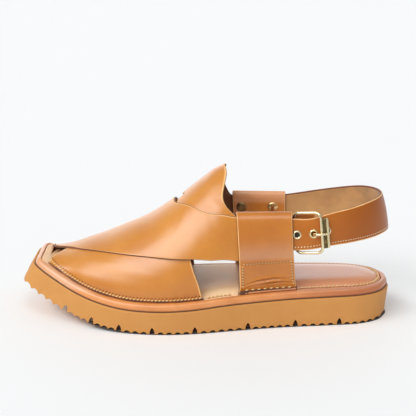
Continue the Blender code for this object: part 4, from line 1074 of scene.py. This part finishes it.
def loopSeams(name, seamLine, lowLine, fore, aft):
    # Fine stitches across, closing the pocket; a row down each side; large ones at the foot.
    # Dark marks between the fine ones paint the shade of pricked holes.
    grid = surfaces[name]
    rows, columns = grid.shape[:2]
    half = rows // 2
    reach = runOf(grid[half // 2])

    def rowsAt(line, where):
        # Fractional rows at which columns reach the line's height, from the outer foot up.
        found = []
        for c in where:
            spot = grid[:half, int(round(c))]
            found.append(np.interp(np.interp(spot[half // 3, 0], *zip(*line)), spot[:, 2], np.arange(half)))
        return np.array(found)

    def lineAcross(line, trim, count=60):
        run = np.linspace(fore + trim, reach[-1] - aft - trim, count)
        where = np.interp(run, reach, np.arange(columns))
        heights = np.polyval(np.polyfit(where, rowsAt(line, where), 3), where)
        return gridLine(name, heights, where)
    pitch, down = loops["finePitch"], loops["sidePitch"]
    parts = [stitchRow(*lineAcross(seamLine, 0), pitch, 1.35, 0.36, lift=0.0, slant=0.6),
             stitchRow(*lineAcross(lowLine, 0.6), loops["footPitch"], 2.8, 0.54, lift=0.1, slant=0.12)]
    marks = [stitchRow(*lineAcross(seamLine, pitch / 2), pitch, 1.0, 0.42, lift=-0.16)]
    for place, extra in ((fore, -1.5), (reach[-1] - aft, 2.5)):
        c = np.interp(place, reach, np.arange(columns))
        ends = rowsAt(lowLine, [c])[0] + 3.5, rowsAt(seamLine, [c])[0] + extra
        path = gridLine(name, np.linspace(*ends, 60), np.full(60, c))
        shift = [part[3:-3] for part in path]
        parts.append(stitchRow(*path, down, 1.5, 0.38, lift=0.0, slant=0.25))
        marks.append(stitchRow(*shift, down, 1.0, 0.42, lift=-0.16))
    return joined(parts), joined(marks)


sewn = [loopSeams(name, loops[side + "Seam"], loops[side + "Foot"], *loops[side + "Margins"])
        for name, side in (("loopOuter", "outer"), ("loopInner", "inner"))]
for part, name, look in ((0, "loopStitches", creamThread), (1, "loopHoleShade", holeShade)):
    addPiece(name, *joined([seam[part] for seam in sewn]), [look])

# Each rod: from and to along the shoe, distance out, height, radius, and how much it crumples.
loopFoot = {"welt": (29.5, 69.3, 2.75, 7.15, 0.85), "slot": (26.0, 69.8, 3.3, 8.9, 0.6),
            "fold": (25.4, 31.2, 2.7, 7.4, 0.95, 0.4)}


def makeLoopFoot():
    # The outer loop goes down between the footbed and a thin welt: a dark rod of painted shade marks the
    # slot over a pale strip, and another paints the shade of the fold where the strip crumples at its fore
    # end.
    def rod(fromX, toX, out, height, radius, wobble=0.0):
        x = np.linspace(fromX, toX, 40)
        y = sideY(x, panelInset, -1) - out
        z = rubberThick(x) + height + wobble * np.sin(x * 2.6)
        return tube(np.stack((x, y, z), -1), radius + 0.3 * wobble * np.sin(x * 4.1), 10)
    addPiece("loopWelt", *rod(*loopFoot["welt"]), [rimLeather])
    addPiece("loopSlotShade", *joined([rod(*loopFoot["slot"]), rod(*loopFoot["fold"])]), [seamShade])


makeLoopFoot()
print("loops")


# The heel strap.
strap = {"thick": 2.4, "crown": 1.0, "buckleX": 82.4, "margin": 2.7,
         # the hidden ends in the loops: place along the shoe, lower and upper edge
         "inOuter": ((47, 62, 86.6), (57, 62.3, 86.8), (67, 62.8, 87.1)),
         "inInner": ((64, 61.6, 88.8), (55.5, 61.2, 87.6), (47, 61, 87)),
         # first and last run, pitch, length, radius and slant of each row
         "stitches": ((-34, 4, 2.4, 1.6, 0.36, 1.3), (4, 172, 2.1, 1.4, 0.26, 0.2))}


def strapEdges():
    # Lower and upper edge from inside the outer loop to inside the inner one.
    def inLoop(x, side, offset, low, top):
        return lastPoint(np.full(2, x), girthAt(x, np.array((low, top)), side), offset)
    rows = [inLoop(x, -1, 3.4, low, top) for x, low, top in strap["inOuter"]]
    columns = [strapTable[k] for k in ("lowX", "lowY", "lowZ", "topX", "topY", "topZ")]
    rows += [np.array(((lx, ly, lz), (tx, ty, tz))) for lx, ly, lz, tx, ty, tz in zip(*columns)]
    rows += [inLoop(x, 1, 1.7, low, top) for x, low, top in strap["inInner"]]
    rows = np.array(rows)
    where = np.arange(3 * (len(rows) - 1) + 1) / 3
    return curveAt(rows[:, 0], where), curveAt(rows[:, 1], where)


strapLow, strapTop = strapEdges()
strapMiddle = (strapLow + strapTop) / 2
strapRun = runOf(strapMiddle)
strapZero = strapRun[np.abs(strapMiddle[:24, 0] - strap["buckleX"]).argmin()]


def strapPoint(run, height, out):
    # A point by its run along the strap, its height from the middle and its distance out.
    run, height = np.asarray(run, float) + strapZero, np.asarray(height, float)
    low, top, middle = (pointsAt(run, strapRun, line) for line in (strapLow, strapTop, strapMiddle))
    before, after = (pointsAt(run + step, strapRun, strapMiddle) for step in (-2, 2))
    up = unit(top - low)
    away = unit(np.cross(after - before, up))
    half = np.linalg.norm(top - low, axis=-1) / 2
    out = np.asarray(out, float) + strap["crown"] * (1 - (height / half) ** 2)
    return middle + up * height[..., None] + away * out[..., None]


def strapPlace(run, turn=0.0):
    # Origin and axes on the strap: X along it, Y up across it, Z outward; turned about Z.
    x = unit(strapPoint(run + 3, 0, 0) - strapPoint(run - 3, 0, 0))
    z = unit(np.cross(x, strapPoint(run, 5, 0) - strapPoint(run, -5, 0)))
    y = np.cross(z, x)
    c, s = math.cos(turn), math.sin(turn)
    return strapPoint(run, 0, 0), x * c + y * s, y * c - x * s, z


# Each eyelet's run along the strap, and where the hole that is cut for it starts.
eyelets = {"front": -10.6, "middle": 2.3, "rear": 12.5, "hole": 2.0, "outer": 3.45, "barrel": 2.6,
           "holeFloor": {"front": 0.2, "middle": -5, "rear": -0.4}, "disc": (0.15, 0.45)}


def makeStrap():
    share = np.linspace(0, 1, 5)[None, :, None]
    body = strapLow[:, None] * (1 - share) + strapTop[:, None] * share
    along = np.gradient(body, axis=0)
    out = unit(np.cross(along, np.repeat((strapTop - strapLow)[:, None], 5, axis=1)))
    body = body + out * strap["crown"] * 4 * share * (1 - share)
    half = strap["thick"] / 2
    piece = sheet("heelStrap", body + out * half, body - out * half, hide(strapLeather, paleSuede),
                  rowStep=2.0, roundness=0.9, core=(0.3, 0.12), slot="saddle_leather",
                  replaces=["heel_strap"])
    for name, floor in eyelets["holeFloor"].items():
        cutBy(piece, *placed(pin(eyelets["barrel"], floor, 5, 24), strapPlace(eyelets[name])))
    rows = []
    for first, final, pitch, length, radius, slant in strap["stitches"]:
        run = np.linspace(first, final, 160)
        low = np.linalg.norm(strapPoint(run, 0, 0) - pointsAt(run + strapZero, strapRun, strapLow), axis=1)
        path, above = (strapPoint(run, strap["margin"] - low, half + rise) for rise in (0, 1))
        rows.append(stitchRow(path, above - path, pitch, length, radius, lift=-0.1, slant=slant))
    addPiece("strapStitches", *joined(rows), [paleThread])


makeStrap()
print("heel strap")


# Buckle, eyelets and rivets.
# Measures along the strap are from its zero, beside the middle eyelet, heights from its middle.
buckle = {"turn": math.radians(-3.5), "wire": 1.15, "front": -13.3, "rear": 9.8, "tall": 34.0,
          "corner": 4.6, "lift": 0.9, "hingeDepth": 5.2, "barLift": 3.2,
          # the plate: fore and aft face, height along the bar, back and front face
          "plate": (8.9, 14.3, 23.4, 2.3, 3.85), "plateLift": 0.4, "borderFrom": 6, "borderTo": 12,
          # the prong's radius and path, and the profile of its eye round the bar
          "prong": 1.2, "shank": ((-4, -4.1), (0, -3.65), (1.5, -2.2), (2.4, 0.6), (3.1, 3.2),
                                  (4.8, 5.35), (7.7, 5.95), (10.3, 5.75), (12.4, 5.3)),
          "eye": ((1.35, -1.1), (2.1, -1.15), (2.35, -0.9), (2.35, 0.9), (2.1, 1.15), (1.35, 1.1)),
          # the tab: radii of its roll and bore, where its tail and flap end, lower and upper edge
          "roll": 2.3, "bore": 1.45, "tailEnd": -26, "flapEnd": 4.2, "tabLow": -11.0, "tabHigh": 14.8,
          "tabBevel": 0.25}


def makeEyelets():
    # A rolled lip outside, a barrel through the strap and a flat lip behind.
    face = strap["thick"] / 2 + 0.2
    hole, outer, barrel = eyelets["hole"], eyelets["outer"], eyelets["barrel"]
    profile = ((hole, -face - 0.3), (outer - 0.7, -face - 0.3), (outer - 0.5, -face - 0.1),
               (outer - 0.7, -face), (barrel, -face), (barrel, face - 0.1), (outer - 0.05, face - 0.1),
               (outer, face + 0.1), (outer - 0.25, face + 0.42), (outer - 0.75, face + 0.6),
               (hole + 0.55, face + 0.56), (hole + 0.2, face + 0.36), (hole, face - 0.1))
    for name in ("front", "middle", "rear"):
        addPiece(name + "Eyelet", *placed(turned(profile, 40), strapPlace(eyelets[name])), [brass],
                 slot="brass", replaces=["eyelet_" + name])
    # A dark disc at the bottom of the front hole is painted shade.
    disc = pin(barrel - 0.05, *eyelets["disc"], 24)
    addPiece("frontEyeletShade", *placed(disc, strapPlace(eyelets["front"])), [blackShade])


makeEyelets()


def makeFrame(place, left, half):
    # A wire frame with round corners that leans across the strap.
    corner, right, deep = buckle["corner"], buckle["rear"] - buckle["wire"], buckle["hingeDepth"]
    path = []
    for x, y, start in ((left, -half, 180), (right, -half, 270), (right, half, 0), (left, half, 90)):
        angle = np.radians(start + np.linspace(0, 90, 10))
        centre = (x - math.copysign(corner, x), y - math.copysign(corner, y))
        path += list(zip(centre[0] + corner * np.cos(angle), centre[1] + corner * np.sin(angle)))
    path = np.array(path)
    lean = -deep + (buckle["barLift"] + deep) * (path[:, 0] - left) / (right - left)
    route = np.column_stack((path[:, 0], path[:, 1] + buckle["lift"], lean))
    addPiece("buckleFrame", *placed(tube(route, buckle["wire"], 16, closed=True), place), [brass],
             slot="brass", replaces=["buckle_frame"])


def makePlate(place):
    # A plate clasped on the far bar: dull and finely chased, with a polished outer border.
    x0, x1, tall, z0, z1 = buckle["plate"]
    around = np.array(((x0, z0), (x0 - 0.05, z1 - 0.45), (x0 + 0.15, z1 - 0.15), (x0 + 0.5, z1),
                       (x0 + 1.2, z1 + 0.06), (x0 + 2.4, z1 + 0.06), (x1 - 1.8, z1),
                       (x1 - 1.65, z1 - 0.25), (x1 - 1.5, z1), (x1 - 0.45, z1 + 0.05),
                       (x1 - 0.1, z1 - 0.2), (x1, z1 - 0.6), (x1, z0), (x1 - 0.4, z0 - 0.15),
                       (x0 + 0.4, z0 - 0.15)))
    up = tall / 2 * np.sin(np.linspace(-1, 1, 41) * math.pi / 2 * 0.98) / math.sin(math.pi / 2 * 0.98)
    # It narrows and thins over the last 0.7 mm of either end.
    end = np.clip((tall / 2 - np.abs(up)) / 0.7, 0, 1) ** 0.5
    x, z = around.mean(0)
    n = len(around)
    rows = [np.column_stack((x + (around[:, 0] - x) * (0.82 + 0.18 * e),
                             np.full(n, y + buckle["plateLift"]),
                             z + (around[:, 1] - z) * (0.55 + 0.45 * e))) for y, e in zip(up, end)]
    column = np.tile(np.arange(n), len(rows) - 1)
    border = ((column >= buckle["borderFrom"]) & (column <= buckle["borderTo"])).astype(int)
    addPiece("bucklePlate", *placed(lofted(rows), place), [chasedBronze, brass],
             [border, np.zeros(2 * (n - 2), int)], slot="brass", replaces=["buckle_frame"])


def makeProng(place, left):
    # Straight under the strap, up through the eyelet and down on the plate; an eye holds the bar.
    shank = [(x, 0, z) for x, z in ((left + 1.9, -4.3), *buckle["shank"])]
    fine = curveAt(np.array(shank), np.linspace(0, len(shank) - 1, 60))
    width = buckle["prong"] * (1 - 0.25 * blend(np.linspace(0, 1, 60), 0.7, 1))
    eye = laidOver(turned(buckle["eye"], 28), (left, 0, -buckle["hingeDepth"]))
    addPiece("buckleProng", *placed(joined([tube(fine, width, 14), eye]), place), [brass], slot="brass",
             replaces=["buckle_prong"])


def makeTab(place, left, half):
    # Leather that holds the hinge bar: a tail inside the loop, a fold and a flap behind the strap.
    roll, bore, deep = buckle["roll"], buckle["bore"], -buckle["hingeDepth"]
    tail, flap = buckle["tailEnd"], buckle["flapEnd"]
    angles = np.radians(np.linspace(-25, 155, 22))
    fold = [(left + roll * math.cos(a), deep + roll * math.sin(a)) for a in angles]
    shape = np.array([(tail, -4.3), (left - roll * 0.9, deep - 0.1),
                      (left - roll * 0.4, deep - roll + 0.25), (left, deep - roll), (flap, deep - roll),
                      (flap, deep - bore), (left + roll + 0.4, deep - bore), *fold, (tail, -3.2)])

    def prism(around, low, high):
        rows = [np.column_stack((around[:, 0], np.full(len(around), y), around[:, 1])) for y in (low, high)]
        return placed(lofted(rows, fan=False), place)
    tab = addPiece("hingeTab", *prism(shape, buckle["tabLow"], buckle["tabHigh"]), [strapLeather],
                   slot="saddle_leather", replaces=["buckle_tab"])
    cutBy(tab, *placed(laidOver(pin(bore, -25, 25, 20), (left, 0, deep)), place))
    # Room for the prong, and for the frame's corners at both ends of the bar.
    straight, prong = half - buckle["corner"] - 0.3, buckle["prong"] + 0.3
    above, below = buckle["lift"] + straight, buckle["lift"] - straight
    fore, aft, skim = left - roll - 0.7, left + roll + 2.2, deep - bore + 0.02
    rooms = [(fore, aft, -prong, prong, -9.0)]
    for x0, x1, floor in ((fore - 0.5, aft, skim), (-40, left - 0.8, -9.0)):
        rooms += [(x0, x1, above, 18, floor), (x0, x1, -18, below, floor)]
    for x0, x1, low, high, floor in rooms:
        cutBy(tab, *prism(np.array(((x0, floor), (x1, floor), (x1, 0), (x0, 0))), low, high))
    soften = tab.modifiers.new("soften", "BEVEL")
    soften.width, soften.segments = buckle["tabBevel"] * mm, 2
    soften.limit_method, soften.angle_limit = "ANGLE", math.radians(40)
    applyAll(tab)


def makeBuckle():
    place = strapPlace(0, buckle["turn"])
    left, half = buckle["front"] + buckle["wire"], buckle["tall"] / 2 - buckle["wire"]
    makeFrame(place, left, half)
    makePlate(place)
    makeProng(place, left)
    makeTab(place, left, half)


makeBuckle()

# Each rivet: place along the shoe, height and metal. Profiles are radius and height over the face.
rivets = {"front": (28.3, 78.3, agedBrass), "rear": (54.3, 78.6, satinBrass), "seat": 0.15,
          "under": ((0, 1.3), (1.5, 1.22), (2.8, 0.98), (3.6, 0.72), (4.1, 0.4), (4.3, 0.15), (4.2, 0),
                    (1.7, 0)),
          "over": ((1.7, 0), (4.2, 0), (4.3, 0.15), (4.1, 0.4), (3.6, 0.72), (3.1, 0.9), (2.85, 0.78),
                   (2.55, 0.98), (1.7, 1.2), (1.45, 1.05), (1.15, 1.24), (0.5, 1.3), (0, 1.3))}


def makeRivets():
    # Capped rivets through the inner loop: a shallow dome with a turned-down edge on each face.
    skin, lining = loops["inner"][:2]
    low, high = lining - rivets["seat"], skin + rivets["seat"]
    profile = [(radius, low - rise) for radius, rise in rivets["under"]]
    profile += [(radius, high + rise) for radius, rise in rivets["over"]]
    for name in ("front", "rear"):
        x, z, look = rivets[name]
        girth = girthAt(np.array(x), z, 1)
        here = lastPoint(x, girth, 0.0)
        out = unit(lastPoint(x, girth, 5.0) - here)
        up = unit(np.cross(out, np.array((1.0, 0, 0))))
        addPiece(name + "Rivet", *placed(turned(profile, 36), (here, np.cross(up, out), up, out)), [look],
                 slot="brass", replaces=["rivet_" + name])


makeRivets()
print("buckle, eyelets and rivets")


# Floor, light and camera.
# Soft light from the side round to the toe, and one box over the heel. Each box: bearing and
# height in degrees (bearing 0 is the camera's side, minus toward the toe), width, power.
light = {"boxes": ((-26, 38, 26, 0.75), (-50, 42, 26, 0.68), (-74, 46, 26, 0.74), (12, 60, 26, 0.45)),
         "glowFrom": (-0.1, 0.9, -0.5), "glow": (0.25, 0.95), "bright": 1.8, "dim": 0.42, "tint": "#FDFEFF"}
camera = {"lens": 96.15, "sensor": 36.0, "tilt": math.radians(16), "away": 0.9,
          "aim": (0.001798, 0.00525, 0.08624)}
table = {"half": 30, "colour": "#F5F6F6"}


def addToScene(name, data):
    made = bpy.data.objects.new(name, data)
    bpy.context.scene.collection.objects.link(made)
    return made


def makeStage():
    # A big pale table under an even white tent that is brighter on the key light's side.
    white = newMaterial("white paper", Roughness=0.8, Base_Color=linear(table["colour"]))[0]
    mesh = bpy.data.meshes.new("floor")
    corners = [(x * table["half"], y * table["half"], 0) for x, y in ((-1, -1), (1, -1), (1, 1), (-1, 1))]
    mesh.from_pydata(corners, [], [(0, 1, 2, 3)])
    mesh.materials.append(white)
    addToScene("floor", mesh)
    world = bpy.data.worlds.new("studio")
    bpy.context.scene.world = world
    world.use_nodes = True
    tree = world.node_tree
    back = tree.nodes["Background"]
    back.inputs["Color"].default_value = linear(light["tint"])
    way = addNode(tree, "ShaderNodeTexCoord").outputs["Generated"]
    side = addNode(tree, "ShaderNodeVectorMath", {0: way, 1: tuple(unit(np.array(light["glowFrom"])))},
                   operation="DOT_PRODUCT").outputs["Value"]
    glow = ranged(tree, side, *light["glow"], light["dim"], light["bright"], "SMOOTHSTEP")
    linked(tree, back, Strength=glow)
    for bearing, height, width, power in light["boxes"]:
        lamp = bpy.data.lights.new("softBox", "SUN")
        lamp.angle, lamp.energy, lamp.color = math.radians(width), power, linear(light["tint"])[:3]
        addToScene("softBox", lamp).rotation_euler = (math.radians(90 - height), 0, math.radians(bearing))


def makeCamera():
    lens = bpy.data.cameras.new("camera")
    lens.lens, lens.sensor_width = camera["lens"], camera["sensor"]
    tilt, away, (x, y, z) = camera["tilt"], camera["away"], camera["aim"]
    eye = addToScene("camera", lens)
    eye.location = (x, y - away * math.cos(tilt), z + away * math.sin(tilt))
    eye.rotation_euler = (math.pi / 2 - tilt, 0, 0)
    bpy.context.scene.camera = eye


makeStage()
makeCamera()
bpy.context.scene.view_settings.view_transform = "Standard"
print("stage set")
